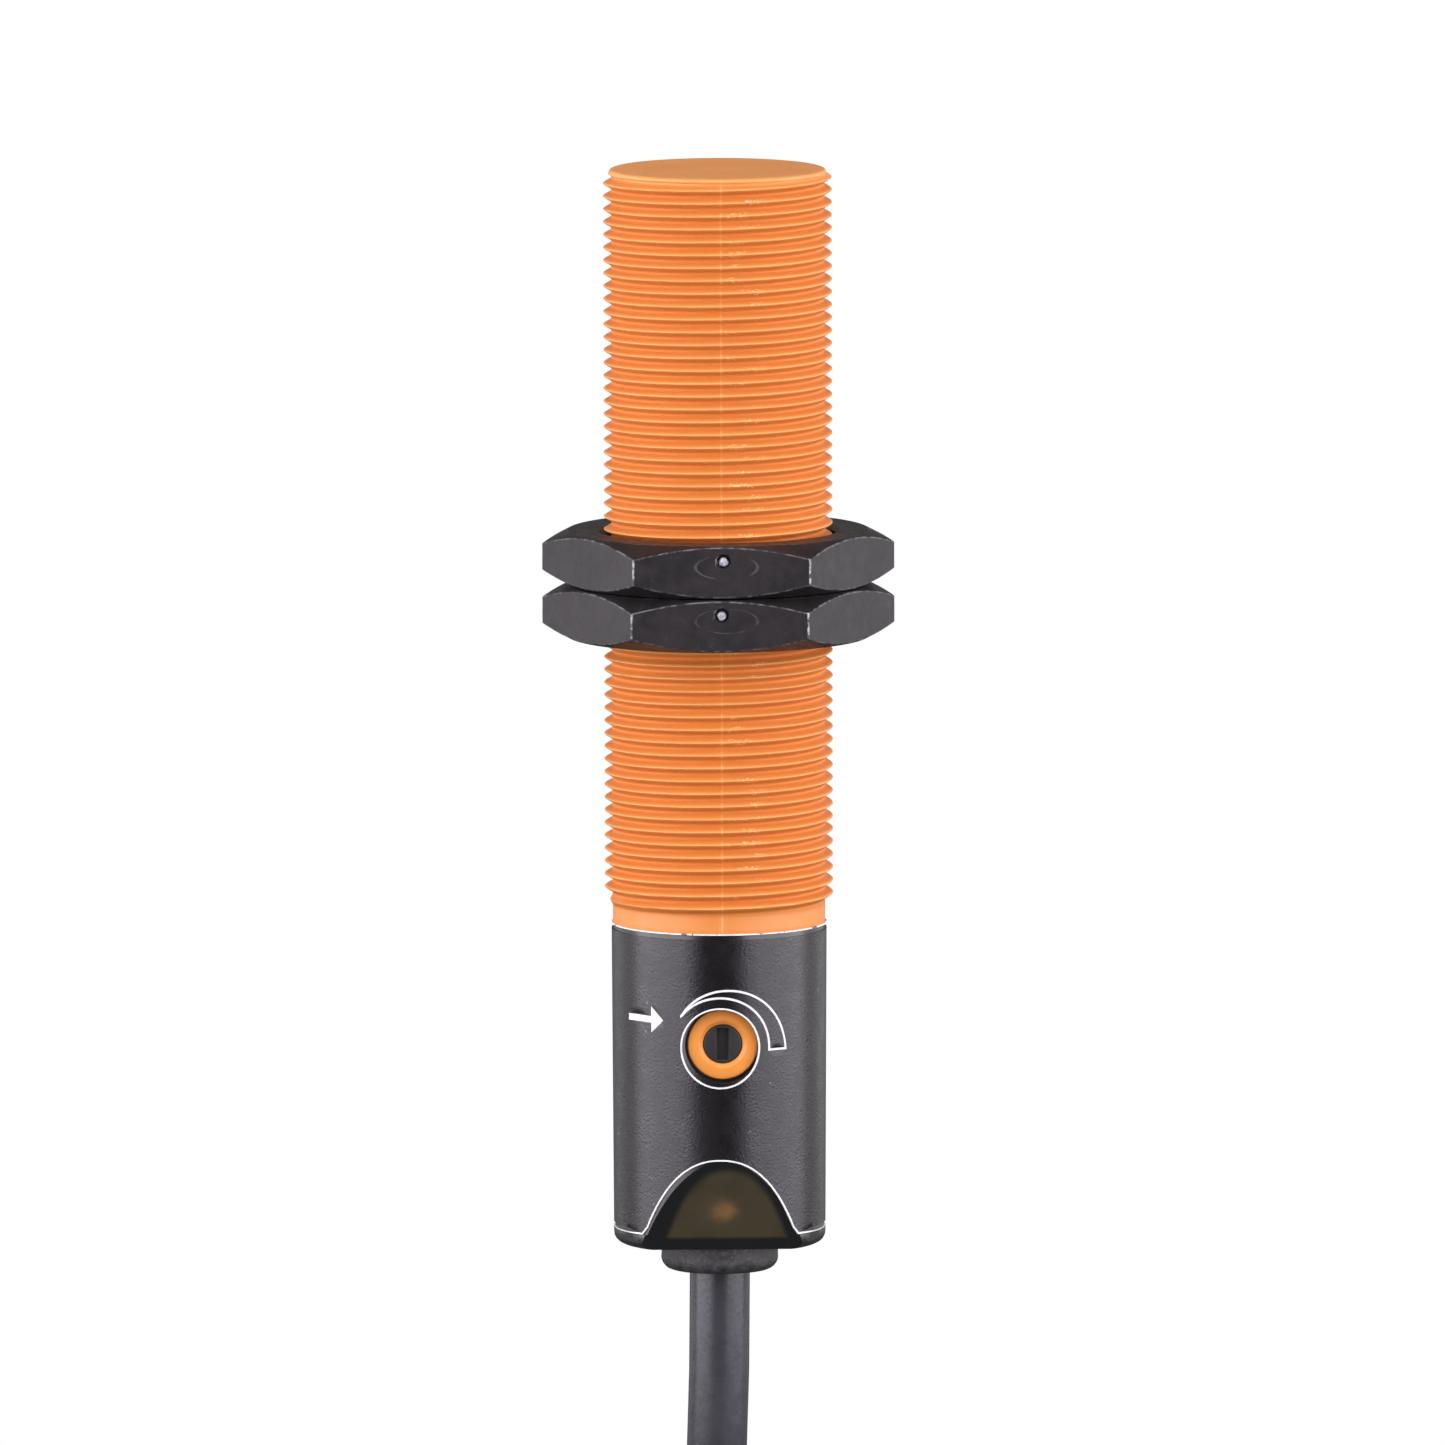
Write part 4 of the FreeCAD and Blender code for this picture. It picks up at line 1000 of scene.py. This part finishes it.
def make_rear_housing():
    """Smoked shell with a slanted flat at the front and a round recess for the trimmer's bush."""
    spigot = 7.15 * MM
    spigot_bore = 5.9 * MM
    gap = 0.01 * MM
    outside = lathe("rear_housing_shell", [
        (NECK_RADIUS, REAR_END_Z, 0),
        (RIM_RADIUS, REAR_END_Z, 0.75 * MM),
        (RIM_RADIUS, LABEL_LOW_Z - 0.5 * MM, 0),
        (RIM_RADIUS, LABEL_LOW_Z - gap, 0.05 * MM),
        (REAR_LOW_RADIUS, LABEL_LOW_Z - gap, 0),
        (REAR_TOP_RADIUS, SEAM_Z - gap, 0.05 * MM),
        (spigot, SEAM_Z, 0),
        (spigot, SPIGOT_TOP_Z, 0.3 * MM),
        (spigot_bore, SPIGOT_TOP_Z, 0),
        (spigot_bore, SEAM_Z - 2 * MM, 0),
        (REAR_BORE, SEAM_Z - 2.5 * MM, 0),
        (REAR_BORE, REAR_FLOOR_Z + 5 * MM, 0),
        (REAR_BORE, REAR_FLOOR_Z, 0),
        (NECK_RADIUS, REAR_FLOOR_Z, 0),
    ], segments=180, steps=5, wobble=roughened_rim)
    inside_radius = 7.3 * MM
    inside_low = REAR_END_Z + 0.3 * MM
    inside = lathe("inside", [(0, inside_low, 0), (inside_radius, inside_low, 0), (inside_radius, SEAM_Z, 0),
                              (0, SEAM_Z, 0)], segments=90)
    boss = rod_y("boss", 3.7 * MM, -inside_radius, RING_BACK_Y, TRIMMER_Z)
    shell = cut(outside, [cut(solid, [inside], "INTERSECT") for solid in (slab_wall(), boss)], "UNION")
    in_front = -10 * MM
    recess = rod_y("recess", 2.95 * MM, in_front, RING_FRONT_Y, TRIMMER_Z, 96)
    seat = rod_y("seat", RING_RADIUS + 0.005 * MM, in_front, RING_BACK_Y + 1 * MM, TRIMMER_Z, 96)
    shell = cut(shell, [slanted_block(), recess, seat])
    shell.materials.clear()
    piece = finished("rear_housing_shell", cleaned(shell), "sensor", ["rear_housing"],
                     [SMOKED], sharp_deg=12.0)
    soften(piece, width=0.09 * MM, angle_deg=24)


def window_outline():
    """The window's edge in the flattened label, from its lower left corner over the top to the right."""
    steps = 20
    flare = 0.6 * MM
    height = WINDOW_TOP_Z - LABEL_LOW_Z - flare
    arch_width = WINDOW_HALF_WIDTH - flare
    right = []
    for step in range(steps + 1):
        drop = height * (step / steps) ** 2.2
        right.append(Vector((arch_width * (drop / height) ** 0.45, WINDOW_TOP_Z - drop)))
    right.append(Vector((WINDOW_HALF_WIDTH, LABEL_LOW_Z)))
    left = [Vector((-p.x, p.y)) for p in right[:0:-1]]
    return left + right


def offset_line(line, distance, closed=False):
    """A copy of a line moved sideways, to its left for a positive distance."""
    count = len(line)
    moved = []
    for number in range(count):
        before = line[number - 1] if closed or number else None
        after = line[(number + 1) % count] if closed or number < count - 1 else None
        sides = []
        for start, end in ((before, line[number]), (line[number], after)):
            if start is not None and end is not None:
                along = (end - start).normalized()
                sides.append(Vector((-along.y, along.x)))
        normal = sum(sides, Vector((0, 0))).normalized()
        reach = distance / max(0.45, normal.dot(sides[0]))
        moved.append(line[number] + normal * reach)
    return moved


def distance_to(line, point, closed=False):
    best = 1.0
    pairs = list(zip(line, line[1:]))
    if closed:
        pairs.append((line[-1], line[0]))
    for start, end in pairs:
        run = end - start
        share = min(1.0, max(0.0, (point - start).dot(run) / run.length_squared))
        best = min(best, (point - start - run * share).length)
    return best


def inside_polygon(outline, point):
    inside = False
    for start, end in zip(outline, outline[1:] + outline[:1]):
        if (start.y > point.y) != (end.y > point.y):
            if point.x < start.x + (point.y - start.y) / (end.y - start.y) * (end.x - start.x):
                inside = not inside
    return inside


def arrow_outline(radius):
    """Solid arrow that points at the range mark."""
    z = -33.44 * MM
    tail, neck, tip = (radius * math.radians(degrees) for degrees in (-58.1, -39.9, -32.0))
    shaft = 0.26 * MM
    head = 1.03 * MM
    upper = [(tail, shaft), (neck, shaft), (neck, head)]
    lower = [(along, -up) for along, up in reversed(upper)]
    return [Vector((along, z + up)) for along, up in upper + [(tip, 0)] + lower]


def wedge_line():
    """Centre line of the range mark: an arc and a spiral that opens to the right, closed at its end."""
    steps = 40
    start = math.radians(141.0)
    inner = 3.95 * MM
    outer = 5.47 * MM
    centre = Vector((0, LABEL_HOLE_Z))
    line = []
    for step in range(steps + 1):
        angle = start * (1 - step / steps) - math.radians(2.9) * step / steps
        line.append(centre + polar(inner, angle).xy)
    for step in range(steps):
        angle = start * step / steps - math.radians(2.1) * (1 - step / steps)
        line.append(centre + polar(outer + (inner - outer) * step / steps, angle).xy)
    return line


def make_label():
    """Printed film wrapped on the housing, built flat with its print as separate faces."""
    wrap = (REAR_TOP_RADIUS + REAR_LOW_RADIUS) / 2 + FILM
    half_gap = 0.12 * MM
    seam = math.pi * wrap - half_gap
    window = window_outline()
    window_margin = offset_line(window, MARGIN)
    wedge = wedge_line()
    arrow = arrow_outline(wrap)
    stroke = 0.085 * MM
    centre = Vector((0, LABEL_HOLE_Z))
    hole = [centre + polar(LABEL_HOLE_RADIUS, angle).xy for angle in ring_angles(96)]
    hole_margin = offset_line(hole, -MARGIN, True)
    points = []
    edges = []

    def add_line(line, closed):
        first = len(points)
        points.extend(line)
        for number in range(len(line) - 1):
            edges.append((first + number, first + number + 1))
        if closed:
            edges.append((first + len(line) - 1, first))

    border = [Vector((-seam, SEAM_Z)), Vector((-seam, LABEL_LOW_Z))] + window
    border += [Vector((seam, LABEL_LOW_Z)), Vector((seam, SEAM_Z))]
    add_line(border, True)
    low_z = LABEL_LOW_Z + MARGIN
    add_line([Vector((-seam, SEAM_Z - MARGIN)), Vector((seam, SEAM_Z - MARGIN))], False)
    add_line([Vector((-seam, low_z)), Vector((window_margin[0].x, low_z))], False)
    add_line([Vector((window_margin[-1].x, low_z)), Vector((seam, low_z))], False)
    add_line(window_margin, False)
    strokes = [offset_line(wedge, side * stroke, True) for side in (1, -1)]
    for line in [hole, hole_margin, *strokes, arrow]:
        add_line(line, True)
    columns = 180
    rows = 64
    for column in range(columns + 1):
        for row in range(rows + 1):
            s = -seam + 2 * seam * column / columns
            z = LABEL_LOW_Z + (SEAM_Z - LABEL_LOW_Z) * row / rows
            points.append(Vector((s, z)))
    flat_points, _, flat_faces, _, _, _ = delaunay_2d_cdt(points, edges, [], 0, 1e-8)
    kept = []
    prints = []
    for face in flat_faces:
        middle = sum((flat_points[index] for index in face), Vector((0, 0))) / len(face)
        off_hole = (middle - centre).length
        if off_hole < LABEL_HOLE_RADIUS * 0.999 or abs(middle.x) > seam or middle.y > SEAM_Z:
            continue
        in_window_rows = middle.y < WINDOW_TOP_Z + MARGIN * 2
        if in_window_rows and inside_polygon(window, middle):
            continue
        white = off_hole < LABEL_HOLE_RADIUS + MARGIN or middle.y > SEAM_Z - MARGIN
        if in_window_rows:
            white = white or middle.y < LABEL_LOW_Z + MARGIN or distance_to(window, middle) < MARGIN * 1.02
        elif abs(middle.x) < wrap and abs(middle.y - LABEL_HOLE_Z) < 6 * MM:
            white = white or distance_to(wedge, middle, True) < stroke * 1.02 or inside_polygon(arrow, middle)
        kept.append(face)
        prints.append(white)
    wrapped = []
    for point in flat_points:
        share = (point.y - LABEL_LOW_Z) / (SEAM_Z - LABEL_LOW_Z)
        radius = REAR_LOW_RADIUS + (REAR_TOP_RADIUS - REAR_LOW_RADIUS) * share + FILM
        angle = point.x / wrap + LABEL_TURN - math.pi / 2
        wrapped.append(polar(radius, angle, point.y))
    mesh = mesh_from("printed_label", wrapped, kept)
    for face, white in zip(mesh.polygons, prints):
        face.material_index = 1 if white else 0
    work = bmesh.new()
    work.from_mesh(mesh)
    loose = [vertex for vertex in work.verts if not vertex.link_faces]
    bmesh.ops.delete(work, geom=loose, context="VERTS")
    work.to_mesh(mesh)
    work.free()
    mesh.materials.append(FILM_BLACK)
    mesh.materials.append(PRINT_WHITE)
    film = thickened(mesh, FILM * 0.9)
    finished("printed_label", film, "sensor", ["label_sleeve"], sharp_deg=30.0)


def thickened(mesh, thickness):
    """The mesh with real thickness behind it; its rims take the second material."""
    sheet = placed("sheet", mesh)
    modifier = sheet.modifiers.new("film", "SOLIDIFY")
    modifier.thickness = thickness
    modifier.offset = -1
    modifier.material_offset_rim = 1
    graph = bpy.context.evaluated_depsgraph_get()
    thick = bpy.data.meshes.new_from_object(sheet.evaluated_get(graph))
    bpy.data.objects.remove(sheet)
    return thick


TO_FRONT = Matrix.Translation((0, 0, TRIMMER_Z)) @ Matrix.Rotation(math.radians(90), 4, "X")


def make_trimmer():
    """Orange bush with a bevelled bore, and the slotted adjusting screw inside it."""
    front = -RING_FRONT_Y
    back = -RING_BACK_Y
    bore = 1.54 * MM
    ring = lathe("trimmer_bush", [
        (bore, back, 0),
        (RING_RADIUS, back, 0),
        (RING_RADIUS, front, 0.14 * MM),
        (bore + 0.32 * MM, front, 0.05 * MM),
        (bore, front - 0.28 * MM, 0.05 * MM),
    ], to_frame=TO_FRONT)
    finished("trimmer_bush", ring, "sensor", ["trimmer_ring"], [BUSH_ORANGE],
             sharp_deg=40.0)
    screw_front = -SCREW_FRONT_Y
    stem_back = 3.0 * MM
    stem_radius = 0.8 * MM
    head_back = 6.3 * MM
    head_radius = 1.5 * MM
    screw = lathe("adjusting_screw", [
        (0.0, stem_back, 0),
        (stem_radius, stem_back, 0),
        (stem_radius, head_back, 0),
        (head_radius, head_back, 0),
        (head_radius, screw_front, 0.12 * MM),
        (0.0, screw_front, 0),
    ], segments=72, to_frame=TO_FRONT)
    half_width = 0.485 * MM
    half_length = 1.25 * MM
    outline = [(-half_width, 0, -half_length), (half_width, 0, -half_length), (half_width, 0, half_length),
               (-half_width, 0, half_length)]
    slot_from = (0, SCREW_FRONT_Y - 1 * MM, TRIMMER_Z)
    slot_to = (0, SCREW_FRONT_Y + 0.5 * MM, TRIMMER_Z)
    slot = prism("slot", outline, slot_from, slot_to)
    piece = finished("adjusting_screw", cut(screw, [slot]), "trimmer", ["trimmer_screw"],
                     [SCREW_BLACK], sharp_deg=30.0)
    soften(piece, width=0.05 * MM, angle_deg=50)


# ---- nuts
def hexagon_radius(angle, half_flats, corner_radius):
    """Distance from the axis to a hexagon with rounded corners; a flat faces angle -90 degrees."""
    sector = FULL_TURN / 6
    off_flat = (angle + math.pi / 2 + sector / 2) % sector - sector / 2
    flat = half_flats / math.cos(off_flat)
    centre = (half_flats - corner_radius) / math.cos(sector / 2)
    off_corner = sector / 2 - abs(off_flat)
    sideways = centre * math.sin(off_corner)
    if sideways < corner_radius * math.sin(sector / 2):
        return centre * math.cos(off_corner) + math.sqrt(corner_radius**2 - sideways**2)
    return flat


def nut_column(angle, low_z, high_z, half_flats):
    """Closed outline of the nut at one angle, as (radius, z, wear) points."""
    bevel_start = 11.7 * MM
    slope = math.tan(math.radians(27.0))
    wall = hexagon_radius(angle, half_flats, 0.25 * MM)
    drop = max(0.05 * MM, (wall - bevel_start) * slope)
    bore = 9.0 * MM
    soft = 0.05 * MM
    corner = ease((wall - 13.675 * MM) / (0.025 * MM))
    thread_depth = 0.28 * MM
    chamfer = 0.5 * MM
    rows = []
    steps = 34
    for step in range(steps + 1):
        z = low_z + (high_z - low_z) * step / steps
        lead_in = max(0.0, chamfer - min(z - low_z, high_z - z))
        phase = (z / PITCH - angle / FULL_TURN) % 1.0
        groove = thread_depth * (1 - thread_height(min(phase, 1 - phase)))
        rows.append((bore + max(lead_in, groove), z, 0.0))
    worn = 0.3 + 0.7 * corner
    edge = [
        (bevel_start - 0.9 * MM, 0.0, 0.0),
        (bevel_start - 0.03 * MM, 0.0, 0.0),
        (bevel_start, 0.01 * MM, 0.12),
        (bevel_start + (wall - bevel_start) * 0.1, drop * 0.1, 0.0),
        (wall - soft * 2.4, drop - soft * 1.1, 0.0),
        (wall - soft, drop - soft * 0.4, worn),
        (wall - soft * 0.3, drop + soft * 0.3, worn),
        (wall, drop + soft, 0.15 + 0.85 * corner),
        (wall, drop + soft * 2.4, corner),
    ]
    rows += [(radius, high_z - depth, wear) for radius, depth, wear in edge]
    for share in (0.2, 0.4, 0.6, 0.8):
        rows.append((wall, high_z - drop + (low_z - high_z + 2 * drop) * share, corner))
    rows += [(radius, low_z + depth, wear) for radius, depth, wear in reversed(edge)]
    return rows


def make_nut(node, turn_deg):
    """Hexagon nut with bevelled corners, tapped bore and the moulding gate's pit in its front face."""
    low_z = low(node).z
    high_z = high(node).z
    half_flats = 11.9 * MM
    turn = math.radians(turn_deg)
    sector = FULL_TURN / 6
    angles = []
    for side in range(6):
        middle = side * sector - math.pi / 2
        for step in range(-12, 12):
            angles.append(middle + sector / 2 * step / 12)
        for off in (0.14, 0.28, 0.41, 0.533, 0.75):
            angles.append(middle - sector / 2 + math.radians(off))
            angles.append(middle + sector / 2 - math.radians(off))
    angles = sorted(angle % FULL_TURN for angle in angles)
    points = []
    wear = []
    for angle in angles:
        for radius, z, worn in nut_column(angle, low_z, high_z, half_flats):
            points.append(polar(radius, angle, z))
            wear.append(worn)
    mesh = mesh_from(node + "_hexagon", points, grid_faces(len(angles), len(points) // len(angles)))
    attribute = mesh.attributes.new("wear", "FLOAT", "POINT")
    attribute.data.foreach_set("value", wear)
    pit_z = high_z - 1.17 * MM
    pit_x = 0.14 * MM
    surface_y = -half_flats
    upright = Matrix.Rotation(math.radians(90), 4, "X")
    pit = lathe("pit", in_mm((0, -0.5, 0), (0.42, -0.5, 0), (0.6, 0, 0), (0.75, 0.3, 0), (0, 0.3, 0)),
                segments=32, steps=3, to_frame=Matrix.Translation((pit_x, surface_y, pit_z)) @ upright)
    hexagon = cut(cleaned(mesh, None), [pit])
    hexagon.transform(Matrix.Rotation(turn, 4, "Z"))
    hexagon.materials.clear()
    nylon = nut_material(node + "_nylon", pit_z)
    finished(node + "_hexagon", hexagon, node, [node], [nylon], sharp_deg=12.0)

    def broken(point):
        """Uneven like a snapped-off gate, and different for each nut."""
        change = 0.09 * MM * noise.noise(point * 4200 + Vector((pit_z * 9000, 0, 0)))
        return point + Vector((1, 1, 0.6)) * change

    # The stub's pale colour is a painted highlight in the pit.
    stub = lathe("stub", in_mm((0, -0.52, 0), (0.34, -0.52, 0), (0.36, -0.3, 0), (0.3, -0.16, 0),
                               (0.17, -0.09, 0), (0, -0.06, 0)), segments=20, steps=3, wobble=broken)
    stub_place = Matrix.Translation((pit_x, surface_y, pit_z - 0.06 * MM))
    stub.transform(Matrix.Rotation(turn, 4, "Z") @ stub_place @ upright)
    finished(node + "_gate", stub, node, [], [GATE_PAINTED_HIGHLIGHT], sharp_deg=25.0)


# ---- grommet
def make_grommet():
    """Rubber grommet with a rounded, uneven lower rim."""
    bore = CABLE_DIAMETER / 2
    top_z = high("cable_grommet").z
    top_radius = GROMMET_RADIUS - 0.4 * MM

    def uneven(point):
        if point.z > REAR_END_Z - 0.02 * MM or math.hypot(point.x, point.y) < bore + 0.1 * MM:
            return point
        coarse = noise.noise(point * 600)
        fine = noise.noise(point * 1700)
        inwards = -Vector((point.x, point.y, 0)).normalized()
        return point + inwards * (0.05 * MM + 0.05 * MM * coarse + 0.03 * MM * fine)

    corners = [(bore, EXIT_Z, 0.15 * MM), (3.2 * MM, EXIT_Z, 0), (GROMMET_RADIUS, EXIT_Z, 0.9 * MM)]
    for step in range(1, 6):
        corners.append((GROMMET_RADIUS, EXIT_Z + (0.9 + 0.2 * step) * MM, 0))
    corners += [
        (GROMMET_RADIUS, REAR_END_Z - 0.01 * MM, 0.12 * MM),
        (NECK_RADIUS, REAR_END_Z - 0.01 * MM, 0),
        (NECK_RADIUS, REAR_FLOOR_Z, 0),
        (top_radius, REAR_FLOOR_Z, 0),
        (top_radius, top_z, 0.2 * MM),
        (bore, top_z, 0),
    ]
    body = lathe("rubber_grommet", corners, segments=128, steps=6, wobble=uneven)
    finished("rubber_grommet", body, "sensor", ["cable_grommet"], [RUBBER], sharp_deg=60.0)


# ---- materials of the parts inside
def dress_inner_parts():
    """Give every carried-over CAD part a material of its own kind."""
    plain = {
        "barrel_o_ring": ("seal_nitrile", (0.016, 0.016, 0.016), 0.55),
        "trimmer_o_ring": ("small_seal_nitrile", (0.018, 0.018, 0.018), 0.55),
        "board_holders": ("carrier_plastic", (0.74, 0.74, 0.7), 0.45),
        "trimmer_case": ("trimmer_case_blue", (0.03, 0.10, 0.36), 0.4),
        "trimmer_track": ("track_carbon", (0.03, 0.027, 0.024), 0.6),
        "oscillator_chip": ("oscillator_epoxy", (0.02, 0.02, 0.022), 0.5),
        "evaluation_chip": ("evaluation_epoxy", (0.022, 0.021, 0.022), 0.5),
        "voltage_regulator": ("regulator_epoxy", (0.02, 0.02, 0.02), 0.52),
        "output_transistors": ("transistor_epoxy", (0.019, 0.019, 0.02), 0.5),
        "protection_diodes": ("diode_epoxy", (0.024, 0.023, 0.023), 0.48),
    }
    cores = {"brown": (0.16, 0.055, 0.022), "black": (0.014, 0.014, 0.015), "blue": (0.02, 0.09, 0.42)}
    for name, colour in cores.items():
        plain[f"end_core_{name}"] = (f"free_core_{name}", colour, 0.4)
        plain[f"inner_core_{name}"] = (f"core_{name}_insulation", colour, 0.42)
    metals = {
        "sensing_electrode": ("electrode_copper", (0.83, 0.42, 0.27), 0.3, (1, 0.1, 1)),
        "guard_electrode": ("guard_copper", (0.8, 0.4, 0.25), 0.34, (1, 0.1, 1)),
        "shield_sleeve": ("shield_brass", (0.78, 0.58, 0.26), 0.3, (1, 1, 0.1)),
        "electrode_pins": ("pin_brass", (0.8, 0.62, 0.3), 0.25, (1, 1, 0.1)),
        "trimmer_wiper": ("wiper_brass", (0.8, 0.6, 0.28), 0.3),
        "led_leads": ("lead_tin", (0.7, 0.7, 0.68), 0.28, (1, 1, 0.1)),
        "solder_joints": ("solder", (0.66, 0.66, 0.65), 0.24),
        "cable_crimp_ring": ("crimp_aluminium", (0.76, 0.76, 0.77), 0.34, (1, 1, 0.1)),
    }
    tipped = {
        "storage_capacitor": ("tantalum_body", (0.62, 0.36, 0.05)),
        "ceramic_capacitors": ("ceramic_body", (0.42, 0.27, 0.14)),
        "chip_resistors": ("resistor_body", (0.03, 0.03, 0.034)),
    }
    made = {node: moulded_plastic(*look, IOR=1.5) for node, look in plain.items()}
    made.update({node: drawn_metal(*look) for node, look in metals.items()})
    made.update({node: tipped_material(*look) for node, look in tipped.items()})
    made["cable_jacket_end"] = JACKET
    made["main_board"] = board_material()
    made["electrode_board"] = made["main_board"]
    made["status_led"] = moulded_plastic("amber_lamp", (0.9, 0.42, 0.1), 0.25, 1500.0, 0.004 * MM, IOR=1.5,
                                         Transmission_Weight=0.4)
    for node, material in made.items():
        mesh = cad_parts[node].data
        mesh.materials.clear()
        mesh.materials.append(material)


make_camera()
make_lights()
make_floor()
make_cable()
make_barrel()
make_nut("upper_nut", -0.8)
make_nut("lower_nut", -1.5)
make_rear_housing()
make_label()
make_trimmer()
make_grommet()
dress_inner_parts()
